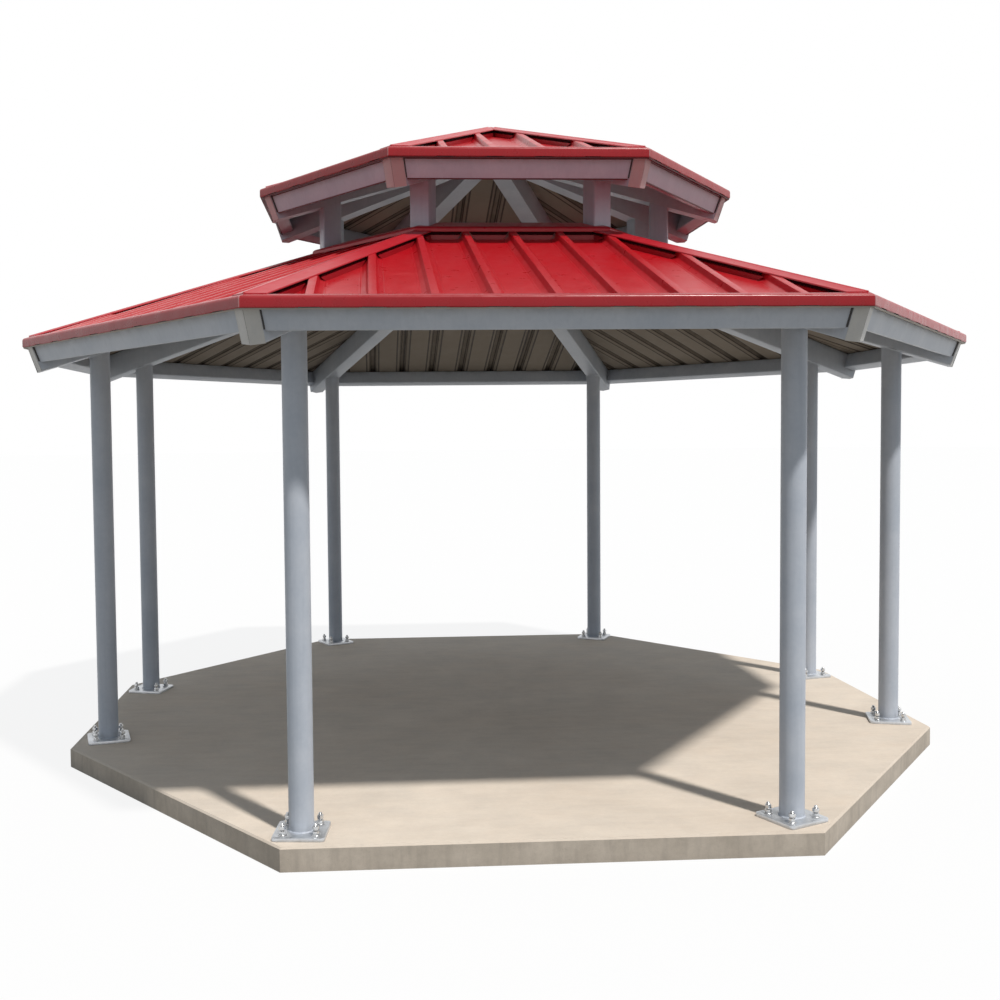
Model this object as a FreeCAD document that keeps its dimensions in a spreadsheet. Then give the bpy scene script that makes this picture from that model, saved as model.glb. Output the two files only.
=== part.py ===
"""Octagonal two-tier steel gazebo on its own concrete slab, millimetres, +Z up.

The origin is the centre of the slab's underside. The front side faces -Y. Corners and
sides are numbered counter-clockwise from above, starting with the front left corner and
the front side. A plan position is given as an apothem: the distance from the centre to
the front side of the octagon that passes through it, so one number places a whole ring.
"""

import FreeCAD, Part
import math
import os

import Sketcher

Vector = FreeCAD.Vector
UP = Vector(0, 0, 1)

# Driving sizes in millimetres, pitch and counts as plain numbers
SIZES = (
    ("post_apothem", 2790, "apothem of the ring of post centres"),
    ("front_post_spacing", 2650, "between the two front posts, on centres"),
    ("side_post_spacing", 1540, "between the two posts of the left or right side"),
    ("slab_margin", 210, "post centres to the slab's front, back and side edges"),
    ("slab_front_lap", 100, "slab's front or back edge past a post centre, at each end"),
    ("slab_side_lap", 210, "slab's left or right edge past a post centre, at each end"),
    ("slab_thickness", 130, "depth of the slab"),
    ("slab_arris", 10, "bevel along the slab's top edge"),
    ("post_diameter", 135, "outside of a round post"),
    ("post_wall", 5, "wall of a round post"),
    ("plate_side", 280, "side of a square base plate"),
    ("plate_thickness", 20, "base plate"),
    ("anchor_circle", 124, "post centre to an anchor bolt hole"),
    ("anchor_hole", 24, "diameter of an anchor bolt hole"),
    ("front_left_plate_turn", 20, "turn of the front left plate from its hip, in degrees"),
    ("roof_rise", 4, "rise of the front roof slope for each roof_run"),
    ("roof_run", 12, "run of the front roof slope"),
    ("eave_overhang", 480, "post centres to the lower eave trim's outer face"),
    ("eave_height", 2771, "slab top to the top of the lower eave trim"),
    ("lantern_apothem", 1212, "apothem of the ring of lantern post centres"),
    ("crown_overhang", 495, "lantern post centres to the upper eave trim's outer face"),
    ("lantern_rise", 458, "lower roof pans at the lantern posts to the top of the upper trim"),
    ("rafter_width", 140, "outside width of a hip rafter tube"),
    ("rafter_depth", 180, "outside depth of a hip rafter tube"),
    ("rafter_wall", 5, "wall of a hip rafter tube"),
    ("rafter_tip_solid", 95, "closed length at the mitred tip of a rafter"),
    ("rafter_set_back", 30, "eave line to a rafter's tip, along the slope"),
    ("beam_width", 100, "outside width of an eave beam tube"),
    ("beam_depth", 123, "outside depth of a lower eave beam tube"),
    ("upper_beam_depth", 140, "outside depth of an upper eave beam tube"),
    ("beam_wall", 5, "wall of an eave beam tube"),
    ("beam_set_back", 42, "eave line to an eave beam's face, along the slope"),
    ("ring_width", 100, "outside width of a lantern ring tube"),
    ("ring_depth", 150, "outside depth of a lantern ring tube"),
    ("ring_wall", 5, "wall of a lantern ring tube"),
    ("lantern_post", 135, "side of a square lantern post"),
    ("lantern_wall", 5, "wall of a lantern post"),
    ("sheet", 5, "roof sheet, measured upright"),
    ("sheet_gap", 3, "between neighbouring roof panels under a hip cap"),
    ("rib_pitch", 305, "between roof ribs, on centres"),
    ("rib_rise", 50, "height of a roof rib, measured upright"),
    ("rib_base", 116, "width of a roof rib at the pan"),
    ("rib_crest", 42, "width of a roof rib at its top"),
    ("trim_face", 54, "height of the eave trim's face"),
    ("trim_return", 40, "flange of the eave trim over the rib ends"),
    ("trim_sheet", 3, "thickness of the eave trim"),
    ("hip_cap_wing", 100, "width of a hip cap on each side of its hip"),
    ("hip_cap_sheet", 8, "thickness of a hip cap, measured upright"),
    ("ring_cap_run", 64, "plan width of the ring cap's nose"),
    ("ring_cap_nose", 32, "height of the ring cap's nose"),
    ("ring_cap_bevel", 14, "bevel along the top edge of the ring cap's nose"),
    ("ring_cap_sheet", 8, "thickness of the ring cap behind its nose"),
    ("hub_radius", 60, "centre to the faces of the apex hub"),
    ("joint_gap", 2, "between neighbouring pieces of one kind"),
    ("mitre_gap", 1, "between mitred lengths of trim or ring cap"),
)

CORNER_NAMES = (
    "front_left",
    "front_right",
    "right_front",
    "right_back",
    "back_right",
    "back_left",
    "left_back",
    "left_front",
)
SIDE_NAMES = (
    "front",
    "front_right",
    "right",
    "back_right",
    "back",
    "back_left",
    "left",
    "front_left",
)

doc = FreeCAD.newDocument("OctagonalGazebo")
sheet = doc.addObject("Spreadsheet::Sheet", "Sizes")
for row, (alias, number, meaning) in enumerate(SIZES, start=1):
    sheet.set("A%d" % row, meaning)
    sheet.set("B%d" % row, str(number))
    sheet.setAlias("B%d" % row, alias)
doc.recompute()

nodes = []


def size(alias):
    """The sheet's value for one named size."""
    return float(getattr(sheet, alias))


def bind(thing, **expressions):
    """Ties properties of a document object to expressions on the sheet."""
    for prop, expression in expressions.items():
        thing.setExpression(prop, expression)


def frame(origin, x_axis, y_axis, z_axis):
    """Placement whose axes and origin are the given vectors."""
    return FreeCAD.Placement(
        FreeCAD.Matrix(
            x_axis.x, y_axis.x, z_axis.x, origin.x,
            x_axis.y, y_axis.y, z_axis.y, origin.y,
            x_axis.z, y_axis.z, z_axis.z, origin.z,
            0, 0, 0, 1,
        )
    )


def shifted(placement, x=0, y=0, z=0):
    """The placement moved along its own axes."""
    return placement.multiply(FreeCAD.Placement(Vector(x, y, z), FreeCAD.Rotation()))


def keep(thing, name):
    """Labels a finished sub-part and puts it on the list to be written."""
    thing.Label = name
    nodes.append(thing)
    return thing


def boolean(kind, name, pieces):
    """Part boolean of two or more document objects."""
    result = doc.addObject(kind, name)
    if kind == "Part::Cut":
        result.Base, result.Tool = pieces
    else:
        result.Shapes = pieces
    return result


def compound(name, pieces):
    """One node of like solids that don't touch each other."""
    group = doc.addObject("Part::Compound", name)
    group.Links = pieces
    return keep(group, name)


def box(name, placement, length, width, height):
    """Part box whose three sizes are numbers or expressions."""
    block = doc.addObject("Part::Box", name)
    block.Placement = placement
    for prop, value in (("Length", length), ("Width", width), ("Height", height)):
        if isinstance(value, str):
            block.setExpression(prop, value)
        else:
            setattr(block, prop, value)
    return block


def half_space(name, placement, reach):
    """Large block that fills the +Y side of a placement's XZ plane."""
    return box(name, shifted(placement, -reach, 0, -reach), 2 * reach, 2 * reach, 2 * reach)


def solid_from(faces):
    """Solid bounded by flat faces, each given as its corner points."""
    sides = [Part.Face(Part.makePolygon(list(points) + [points[0]])) for points in faces]
    solid = Part.Solid(Part.Shell(sides))
    if solid.Volume < 0:
        solid.reverse()
    return solid


def prism_between(low, high):
    """Solid between two outlines with the same number of points, joined side by side."""
    count = len(low)
    walls = [
        (low[i], low[(i + 1) % count], high[(i + 1) % count], high[i]) for i in range(count)
    ]
    return solid_from([low, high] + walls)


def feature(name, shape):
    """Document object for a shape made with Part's own functions."""
    thing = doc.addObject("Part::Feature", name)
    thing.Shape = shape
    thing.Placement = FreeCAD.Placement()
    return thing


class Tier:
    """A roof tier: eight planes that meet above the centre, measured on the flat pans."""

    def __init__(self, eave, top_of_trim, beam_depth, rib_offset):
        self.eave = eave
        self.pitch = size("roof_rise") / size("roof_run")
        self.beam_depth = beam_depth
        self.rib_offset = rib_offset
        pan_at_eave = top_of_trim - size("trim_sheet") - size("rib_rise")
        self.peak = pan_at_eave + eave * self.pitch

    def level(self, apothem, above=0.0):
        """Height of the pans at an apothem, or of a plane parallel to them."""
        return self.peak - apothem * self.pitch + above


class Corner:
    """A hip line of the octagon, with the plan directions that its pieces follow."""

    def __init__(self, name, plan):
        self.name = name
        self.plan = plan
        self.stretch = plan.Length
        self.out = Vector(plan).normalize()
        self.across = UP.cross(self.out)
        self.drop_slope = 0.0

    def upright(self, radius=0.0, height=0.0):
        """Frame with X away from the centre, Y across the hip and Z up."""
        return frame(self.out * radius + UP * height, self.out, self.across, UP)

    def down_hip(self, tier, width):
        """Frame on a hip member's top face, X down the hip, set so that its edges fit."""
        incline = math.atan2(tier.pitch, self.stretch)
        along = self.out * math.cos(incline) - UP * math.sin(incline)
        top = tier.level(0, -size("sheet")) - self.drop_slope * width / 2
        return frame(UP * top, along, self.across, along.cross(self.across))

    def member_height(self, tier, width, depth, radius):
        """Height of a hip member's underside at a plan distance from the centre."""
        incline = math.atan2(tier.pitch, self.stretch)
        top = tier.level(radius / self.stretch, -size("sheet")) - self.drop_slope * width / 2
        return top - depth / math.cos(incline)


class Side:
    """One of the eight sides, between a left and a right corner seen from outside."""

    def __init__(self, name, left, right):
        self.name = name
        self.left = left
        self.right = right
        self.along = (right.plan - left.plan).normalize()
        self.out = self.along.cross(UP)
        self.reach = left.plan.dot(self.out)
        self.left_foot = left.plan.dot(self.along)
        self.right_foot = right.plan.dot(self.along)
        for corner in (left, right):
            cross_slope = abs(corner.across.dot(self.out)) / self.reach
            corner.drop_slope = max(corner.drop_slope, cross_slope * roof_pitch)

    def incline(self, tier):
        """Angle of this side's roof plane above level."""
        return math.atan2(tier.pitch, self.reach)

    def upright(self, apothem=0.0, height=0.0):
        """Frame with X to the right, Y towards the centre and Z up."""
        origin = self.out * (apothem * self.reach) + UP * height
        return frame(origin, self.along, self.out * -1, UP)

    def on_slope(self, tier, apothem, above=0.0):
        """Frame on the roof plane with X to the right, Y up the slope and Z out of it."""
        angle = self.incline(tier)
        up_slope = self.out * -math.cos(angle) + UP * math.sin(angle)
        normal = self.out * math.sin(angle) + UP * math.cos(angle)
        origin = self.out * (apothem * self.reach) + UP * tier.level(apothem, above)
        return frame(origin, self.along, up_slope, normal)

    def edges(self, apothem, inset=0.0):
        """Left and right ends of this side at an apothem, drawn in from the hip planes."""
        left_inset = inset * self.left.stretch / self.reach
        right_inset = inset * self.right.stretch / self.reach
        left = apothem * self.left_foot + left_inset
        return left, apothem * self.right_foot - right_inset

    def point(self, along, apothem, height):
        """Point of this side from its place along it, its apothem and its height."""
        return self.along * along + self.out * (apothem * self.reach) + UP * height

    def bay_block(self, name, outer, inner, inset, low, high):
        """Upright wedge between the two hip planes, drawn in by an inset."""
        wedge = doc.addObject("Part::Wedge", name)
        wedge.Placement = self.upright()
        wedge.Xmin, wedge.Xmax = self.edges(outer, inset)
        wedge.X2min, wedge.X2max = self.edges(inner, inset)
        wedge.Ymin = -outer * self.reach
        wedge.Ymax = -inner * self.reach
        wedge.Zmin = wedge.Z2min = low
        wedge.Zmax = wedge.Z2max = high
        return wedge

    def mitred_bar(self, profile, inset):
        """Bar along this side from a profile of (apothem, height), cut at both hip planes."""
        left_end = []
        right_end = []
        for apothem, height in profile:
            left, right = self.edges(apothem, inset)
            left_end.append(self.point(left, apothem, height))
            right_end.append(self.point(right, apothem, height))
        return prism_between(left_end, right_end)


# Plan of the frame: every ring is this octagon scaled from the centre
roof_pitch = size("roof_rise") / size("roof_run")
front_share = size("front_post_spacing") / 2 / size("post_apothem")
side_share = size("side_post_spacing") / 2 / size("post_apothem")
PLAN = (
    (-front_share, -1),
    (front_share, -1),
    (1, -side_share),
    (1, side_share),
    (front_share, 1),
    (-front_share, 1),
    (-1, side_share),
    (-1, -side_share),
)
corners = [Corner(name, Vector(x, y, 0)) for name, (x, y) in zip(CORNER_NAMES, PLAN)]
sides = [
    Side(name, corners[i], corners[(i + 1) % len(corners)]) for i, name in enumerate(SIDE_NAMES)
]
slab_top = size("slab_thickness")

# A rib runs up the middle of each lower side, and a pan up the middle of each upper one
lower = Tier(
    eave=size("post_apothem") + size("eave_overhang"),
    top_of_trim=slab_top + size("eave_height"),
    beam_depth="beam_depth",
    rib_offset=0,
)
upper = Tier(
    eave=size("lantern_apothem") + size("crown_overhang"),
    top_of_trim=lower.level(size("lantern_apothem")) + size("lantern_rise"),
    beam_depth="upper_beam_depth",
    rib_offset=size("rib_pitch") / 2,
)
overall = 2 * (lower.eave + upper.peak)


def origin_plane(body, role):
    """One of a body's own origin planes."""
    return next(item for item in body.Origin.OriginFeatures if item.Role == role)


def sketch_on(body, role, name):
    """Sketch attached to one of a body's own origin planes."""
    sketch = body.newObject("Sketcher::SketchObject", name)
    sketch.AttachmentSupport = [(origin_plane(body, role), "")]
    sketch.MapMode = "FlatFace"
    return sketch


def closed_outline(sketch, points):
    """Adds a closed chain of lines to a sketch and returns their numbers."""
    lines = []
    for start, end in zip(points, points[1:] + points[:1]):
        lines.append(sketch.addGeometry(Part.LineSegment(Vector(*start, 0), Vector(*end, 0))))
    for line, following in zip(lines, lines[1:] + lines[:1]):
        sketch.addConstraint(Sketcher.Constraint("Coincident", line, 2, following, 1))
    return lines


def bound_constraint(sketch, name, expression, *constraint):
    """Adds a dimension to a sketch and ties it to the sheet."""
    index = sketch.addConstraint(Sketcher.Constraint(*constraint))
    sketch.renameConstraint(index, name)
    sketch.setExpression("Constraints." + name, expression)


def make_slab():
    """Octagonal concrete slab with a small bevel along its top edge."""
    body = doc.addObject("PartDesign::Body", "SlabBody")
    outline = sketch_on(body, "XY_Plane", "SlabOutline")
    reach = size("post_apothem") + size("slab_margin")
    front = size("front_post_spacing") / 2 + size("slab_front_lap")
    flank = size("side_post_spacing") / 2 + size("slab_side_lap")
    points = [
        (-front, -reach),
        (front, -reach),
        (reach, -flank),
        (reach, flank),
        (front, reach),
        (-front, reach),
        (-reach, flank),
        (-reach, -flank),
    ]
    lines = closed_outline(outline, points)
    front_line, right_line, back_line, left_line = lines[0], lines[2], lines[4], lines[6]
    for line in (front_line, back_line):
        outline.addConstraint(Sketcher.Constraint("Symmetric", line, 1, line, 2, -2))
    for line in (right_line, left_line):
        outline.addConstraint(Sketcher.Constraint("Symmetric", line, 1, line, 2, -1))
    front_edge = "Sizes.front_post_spacing + 2 * Sizes.slab_front_lap"
    side_edge = "Sizes.side_post_spacing + 2 * Sizes.slab_side_lap"
    to_edge = "Sizes.post_apothem + Sizes.slab_margin"
    for name, expression, axis, start, start_end, stop, stop_end, value in (
        ("front_edge", front_edge, "DistanceX", front_line, 1, front_line, 2, 2 * front),
        ("back_edge", front_edge, "DistanceX", back_line, 2, back_line, 1, 2 * front),
        ("right_edge", side_edge, "DistanceY", right_line, 1, right_line, 2, 2 * flank),
        ("left_edge", side_edge, "DistanceY", left_line, 2, left_line, 1, 2 * flank),
        ("to_front", to_edge, "DistanceY", front_line, 1, -1, 1, reach),
        ("to_back", to_edge, "DistanceY", -1, 1, back_line, 1, reach),
        ("to_right", to_edge, "DistanceX", -1, 1, right_line, 1, reach),
        ("to_left", to_edge, "DistanceX", left_line, 1, -1, 1, reach),
    ):
        bound_constraint(
            outline, name, expression, axis, start, start_end, stop, stop_end, value
        )
    pad = body.newObject("PartDesign::Pad", "SlabPad")
    pad.Profile = outline
    bind(pad, Length="Sizes.slab_thickness")
    doc.recompute()
    top_edges = [
        "Edge%d" % (i + 1)
        for i, edge in enumerate(pad.Shape.Edges)
        if min(vertex.Z for vertex in edge.Vertexes) > size("slab_thickness") / 2
    ]
    bevel = body.newObject("PartDesign::Chamfer", "SlabBevel")
    bevel.Base = (pad, top_edges)
    bind(bevel, Size="Sizes.slab_arris")
    body.Tip = bevel
    keep(body, "slab")


def make_base_plates():
    """Square plates on the slab, one under each post, with four anchor bolt holes."""
    plates = []
    for corner in corners:
        body = doc.addObject("PartDesign::Body", "PlateBody")
        outline = sketch_on(body, "XY_Plane", "PlateOutline")
        half = size("plate_side") / 2
        points = [(-half, -half), (half, -half), (half, half), (-half, half)]
        bottom, right, top, left = closed_outline(outline, points)
        for line in (bottom, top):
            outline.addConstraint(Sketcher.Constraint("Symmetric", line, 1, line, 2, -2))
        outline.addConstraint(Sketcher.Constraint("Symmetric", right, 1, right, 2, -1))
        side = "Sizes.plate_side"
        bound_constraint(outline, "side", side, "DistanceX", bottom, 1, bottom, 2, 2 * half)
        bound_constraint(outline, "depth", side, "DistanceY", right, 1, right, 2, 2 * half)
        pad = body.newObject("PartDesign::Pad", "PlatePad")
        pad.Profile = outline
        bind(pad, Length="Sizes.plate_thickness")
        hole = sketch_on(body, "XY_Plane", "AnchorHole")
        reach = size("anchor_circle") * math.sqrt(0.5)
        bore = size("anchor_hole")
        circle = hole.addGeometry(Part.Circle(Vector(reach, reach, 0), UP, bore / 2))
        offset = "Sizes.anchor_circle * sqrt(0.5)"
        bound_constraint(hole, "across", offset, "DistanceX", -1, 1, circle, 3, reach)
        bound_constraint(hole, "along", offset, "DistanceY", -1, 1, circle, 3, reach)
        bound_constraint(hole, "bore", "Sizes.anchor_hole", "Diameter", circle, bore)
        pocket = body.newObject("PartDesign::Pocket", "AnchorPocket")
        pocket.Profile = hole
        pocket.Reversed = True
        pocket.Type = "ThroughAll"
        pattern = body.newObject("PartDesign::PolarPattern", "AnchorPattern")
        pattern.Originals = [pocket]
        pattern.Axis = (hole, ["N_Axis"])
        pattern.Angle = 360
        pattern.Occurrences = 4
        body.Tip = pattern
        turn = size("front_left_plate_turn") if corner is corners[0] else 0
        spot = corner.upright(size("post_apothem") * corner.stretch, slab_top)
        body.Placement = spot.multiply(FreeCAD.Placement(Vector(), FreeCAD.Rotation(UP, turn)))
        plates.append(body)
    compound("base_plates", plates)


def make_posts():
    """Round hollow posts, cut at the top to the slope of the rafter that they carry."""
    foot = slab_top + size("plate_thickness")
    for corner in corners:
        radius = size("post_apothem") * corner.stretch
        spot = corner.upright(radius, foot)
        outer = doc.addObject("Part::Cylinder", "PostOutside")
        bore = doc.addObject("Part::Cylinder", "PostBore")
        for tube in (outer, bore):
            tube.Placement = spot
            tube.Height = lower.level(0) - foot
        bind(outer, Radius="Sizes.post_diameter / 2")
        bind(bore, Radius="Sizes.post_diameter / 2 - Sizes.post_wall")
        tube = boolean("Part::Cut", "PostTube", [outer, bore])
        rafter = corner.down_hip(lower, size("rafter_width"))
        above = shifted(rafter, -overall, -overall, -size("rafter_depth"))
        cutter = box("AbovePost", above, 2 * overall, 2 * overall, overall)
        keep(boolean("Part::Cut", "Post", [tube, cutter]), "post_" + corner.name)


def rafter_tube(corner, tier):
    """Rectangular tube down one hip, closed near its tip, before its ends are cut."""
    top = corner.down_hip(tier, size("rafter_width"))
    length = tier.eave * corner.stretch / math.cos(math.atan2(tier.pitch, corner.stretch))
    blank_place = shifted(top, 0, -size("rafter_width") / 2, -size("rafter_depth"))
    blank = box(
        "RafterBlank", blank_place, length, "Sizes.rafter_width", "Sizes.rafter_depth"
    )
    wall = size("rafter_wall")
    cavity = box(
        "RafterCavity",
        shifted(blank_place, 0, wall, wall),
        length - size("rafter_set_back") - size("rafter_tip_solid"),
        "Sizes.rafter_width - 2 * Sizes.rafter_wall",
        "Sizes.rafter_depth - 2 * Sizes.rafter_wall",
    )
    return boolean("Part::Cut", "RafterTube", [blank, cavity])


def tip_cutters(index, tier):
    """The two blocks that leave a rafter's tip with one face along each eave."""
    cutters = []
    for side in (sides[index - 1], sides[index]):
        face = shifted(side.on_slope(tier, tier.eave), 0, size("rafter_set_back"), 0)
        cutters.append(half_space("RafterTip", face, overall))
    return cutters


def make_lower_rafters():
    """Hip rafters from the lantern posts over the round posts to the mitred tips."""
    for index, corner in enumerate(corners):
        post_face = size("lantern_apothem") * corner.stretch + size("lantern_post") / 2
        tube = rafter_tube(corner, lower)
        beyond = box(
            "BeyondLantern",
            shifted(corner.upright(post_face), 0, -overall, -overall),
            2 * overall,
            2 * overall,
            2 * overall,
        )
        pieces = [tube, beyond] + tip_cutters(index, lower)
        keep(boolean("Part::MultiCommon", "Rafter", pieces), "rafter_" + corner.name)


def make_upper_rafters():
    """Upper hip rafters, mitred to each other and stopped at the apex hub."""
    rafters = []
    for index, corner in enumerate(corners):
        tube = rafter_tube(corner, upper)
        beyond = box(
            "BeyondHub",
            shifted(corner.upright(size("hub_radius")), 0, -overall, -overall),
            2 * overall,
            2 * overall,
            2 * overall,
        )
        pieces = [tube, beyond] + tip_cutters(index, upper)
        for neighbour in (corners[index - 1], corners[(index + 1) % len(corners)]):
            between = (corner.out + neighbour.out).normalize()
            inward = corner.out - between * corner.out.dot(between)
            inward.normalize()
            plane = frame(Vector(), inward.cross(UP), inward, UP)
            mitre = shifted(plane, 0, size("joint_gap") / 2, 0)
            pieces.append(half_space("RafterMitre", mitre, overall))
        rafters.append(boolean("Part::MultiCommon", "UpperRafter", pieces))
    compound("upper_rafters", rafters)


def eave_beam(side, tier):
    """Rectangular tube under the eave, square to the slope, between two rafters."""
    top = side.on_slope(tier, tier.eave, -size("sheet"))
    left, right = side.edges(tier.eave)
    blank_place = shifted(top, left, size("beam_set_back"), -size(tier.beam_depth))
    wall = size("beam_wall")
    depth = "Sizes." + tier.beam_depth
    blank = box("BeamBlank", blank_place, right - left, "Sizes.beam_width", depth)
    cavity = box(
        "BeamCavity",
        shifted(blank_place, 0, wall, wall),
        right - left,
        "Sizes.beam_width - 2 * Sizes.beam_wall",
        depth + " - 2 * Sizes.beam_wall",
    )
    tube = boolean("Part::Cut", "BeamTube", [blank, cavity])
    inner = tier.eave - 2 * size("beam_width")
    bay = side.bay_block("BeamBay", tier.eave, inner, size("rafter_width") / 2, 0, overall)
    return boolean("Part::MultiCommon", "EaveBeam", [tube, bay])


def make_eave_beams():
    """Eave beams of both tiers."""
    for side in sides:
        keep(eave_beam(side, lower), "eave_beam_" + side.name)
    compound("upper_eave_beams", [eave_beam(side, upper) for side in sides])


def make_ring_beams():
    """Level tubes between the lantern posts, just under the top of the lower roof."""
    beams = []
    for side in sides:
        outer_edge = size("lantern_apothem") + size("ring_width") / 2 / side.reach
        top = lower.level(outer_edge, -size("sheet"))
        left, right = side.edges(outer_edge)
        place = side.upright(outer_edge, top - size("ring_depth"))
        blank_place = shifted(place, left)
        wall = size("ring_wall")
        blank = box(
            "RingBlank", blank_place, right - left, "Sizes.ring_width", "Sizes.ring_depth"
        )
        cavity = box(
            "RingCavity",
            shifted(blank_place, 0, wall, wall),
            right - left,
            "Sizes.ring_width - 2 * Sizes.ring_wall",
            "Sizes.ring_depth - 2 * Sizes.ring_wall",
        )
        tube = boolean("Part::Cut", "RingTube", [blank, cavity])
        inner_edge = outer_edge - 2 * size("ring_width")
        bay = side.bay_block(
            "RingBay", outer_edge, inner_edge, size("lantern_post") / 2, 0, overall
        )
        beams.append(boolean("Part::MultiCommon", "RingBeam", [tube, bay]))
    compound("lantern_ring", beams)


def make_lantern_posts():
    """Square tubes from the lower rafters up to the upper ones, square to each hip."""
    posts = []
    side_length = size("lantern_post")
    for corner in corners:
        radius = size("lantern_apothem") * corner.stretch
        foot = corner.member_height(
            lower, size("rafter_width"), size("rafter_depth"), radius + side_length / 2
        )
        height = upper.peak - foot
        corner_place = shifted(corner.upright(radius, foot), -side_length / 2, -side_length / 2)
        side = "Sizes.lantern_post"
        blank = box("LanternBlank", corner_place, side, side, height)
        wall = size("lantern_wall")
        inside = "Sizes.lantern_post - 2 * Sizes.lantern_wall"
        bore = box("LanternBore", shifted(corner_place, wall, wall), inside, inside, height)
        tube = boolean("Part::Cut", "LanternTube", [blank, bore])
        rafter = corner.down_hip(upper, size("rafter_width"))
        above = shifted(rafter, -overall, -overall, -size("rafter_depth"))
        cutter = box("AboveLanternPost", above, 2 * overall, 2 * overall, overall)
        posts.append(boolean("Part::Cut", "LanternPost", [tube, cutter]))
    compound("lantern_posts", posts)


def panel_profile(left, right, offset, rise, thickness):
    """Outline of the ribbed sheet across the slope, ribs spaced from the side's middle."""
    pitch = size("rib_pitch")
    base = size("rib_base") / 2
    crest = size("rib_crest") / 2
    web = math.atan2(rise, base - crest)
    tuck = thickness * math.tan(web / 2)
    first = math.ceil((left + base - offset) / pitch)
    last = math.floor((right - base - offset) / pitch)
    outside = [(left, 0)]
    inside = [(left, -thickness)]
    for number in range(first, last + 1):
        middle = number * pitch + offset
        outside += [
            (middle - base, 0),
            (middle - crest, rise),
            (middle + crest, rise),
            (middle + base, 0),
        ]
        inside += [
            (middle - base + tuck, -thickness),
            (middle - crest + tuck, rise - thickness),
            (middle + crest - tuck, rise - thickness),
            (middle + base - tuck, -thickness),
        ]
    outside.append((right, 0))
    inside.append((right, -thickness))
    return outside + inside[::-1]


def roof_panel(side, tier, inner):
    """Ribbed sheet of one side, cut to the hips, from the eave trim up to an apothem."""
    angle = side.incline(tier)
    start = tier.eave - size("trim_sheet") / side.reach
    left, right = side.edges(start)
    rise = size("rib_rise") * math.cos(angle)
    thickness = size("sheet") * math.cos(angle)
    outline = panel_profile(left, right, tier.rib_offset, rise, thickness)
    points = [Vector(x, 0, z) for x, z in outline]
    section = doc.addObject("Part::Feature", "PanelSection")
    section.Shape = Part.Face(Part.makePolygon(points + [points[0]]))
    section.Placement = shifted(side.on_slope(tier, start), 0, -size("rib_rise"), 0)
    run = doc.addObject("Part::Extrusion", "PanelRun")
    run.Base = section
    run.DirMode = "Custom"
    run.Dir = section.Placement.Rotation.multVec(Vector(0, 1, 0))
    run.LengthFwd = start * side.reach / math.cos(angle) + size("rib_rise")
    run.Solid = True
    bay = side.bay_block("PanelBay", start, inner, size("sheet_gap") / 2, 0, overall)
    return boolean("Part::MultiCommon", "Panel", [run, bay])


def lantern_clearance():
    """Apothem just outside the lantern posts, where the lower roof sheets end."""
    narrowest = min(corner.stretch for corner in corners)
    return size("lantern_apothem") + (size("lantern_post") / 2 + size("joint_gap")) / narrowest


def make_roof_panels():
    """Ribbed sheets: one node a side below, one node of eight above."""
    for side in sides:
        keep(roof_panel(side, lower, lantern_clearance()), "roof_panel_" + side.name)
    near_apex = size("hub_radius") / 2
    compound("upper_roof_panels", [roof_panel(side, upper, near_apex) for side in sides])


def hip_cap_wing(side, tier, outer, inner, on_left):
    """Half of a hip cap: a strip on one roof plane, narrowing where its neighbour comes."""
    corner = side.left if on_left else side.right
    foot = side.left_foot if on_left else side.right_foot
    towards_middle = 1 if on_left else -1
    width = size("hip_cap_wing") * corner.stretch / side.reach
    left_angle = math.atan2(-side.left_foot, side.reach)
    right_angle = math.atan2(side.right_foot, side.reach)
    middle_slope = math.tan((right_angle - left_angle) / 2) * side.reach
    gap = size("joint_gap") / 2
    meeting = (width + gap) / abs(middle_slope - foot)
    plan = [(outer * foot, outer), (outer * foot + towards_middle * width, outer)]
    if meeting > inner:
        plan.append((meeting * foot + towards_middle * width, meeting))
        plan.append((inner * middle_slope - towards_middle * gap, inner))
    else:
        plan.append((inner * foot + towards_middle * width, inner))
    plan.append((inner * foot, inner))
    base = size("rib_rise")
    crown = base + size("hip_cap_sheet")
    low = [side.point(along, apothem, tier.level(apothem, base)) for along, apothem in plan]
    high = [side.point(along, apothem, tier.level(apothem, crown)) for along, apothem in plan]
    return prism_between(low, high)


def hip_caps(tier, inner):
    """Folded caps over the eight hips of a tier, lying on the rib crests."""
    caps = []
    outer = tier.eave - size("trim_return") / min(side.reach for side in sides)
    for index in range(len(corners)):
        before = hip_cap_wing(sides[index - 1], tier, outer, inner, False)
        after = hip_cap_wing(sides[index], tier, outer, inner, True)
        caps.append(feature("HipCap", before.fuse(after)))
    return caps


def eave_trim(tier):
    """Folded trim round the eave: a face and a flange over the rib ends."""
    lengths = []
    face = size("trim_face")
    gauge = size("trim_sheet")
    for side in sides:
        step = gauge / side.reach
        flange = size("trim_return") / side.reach
        top = tier.level(tier.eave, size("rib_rise") + gauge)
        rise = flange * tier.pitch
        profile = [
            (tier.eave, top - face),
            (tier.eave, top),
            (tier.eave - flange, top + rise),
            (tier.eave - flange, top + rise - gauge),
            (tier.eave - step, top - gauge + step * tier.pitch),
            (tier.eave - step, top - face),
        ]
        lengths.append(feature("TrimLength", side.mitred_bar(profile, size("mitre_gap") / 2)))
    return lengths


def make_trims():
    """Hip caps and eave trims of both tiers."""
    cap_end = lantern_clearance() + size("ring_cap_run")
    compound("hip_caps", hip_caps(lower, cap_end))
    compound("eave_trim", eave_trim(lower))
    compound("upper_hip_caps", hip_caps(upper, size("hub_radius")) + [apex_cap()])
    compound("upper_eave_trim", eave_trim(upper))


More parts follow.
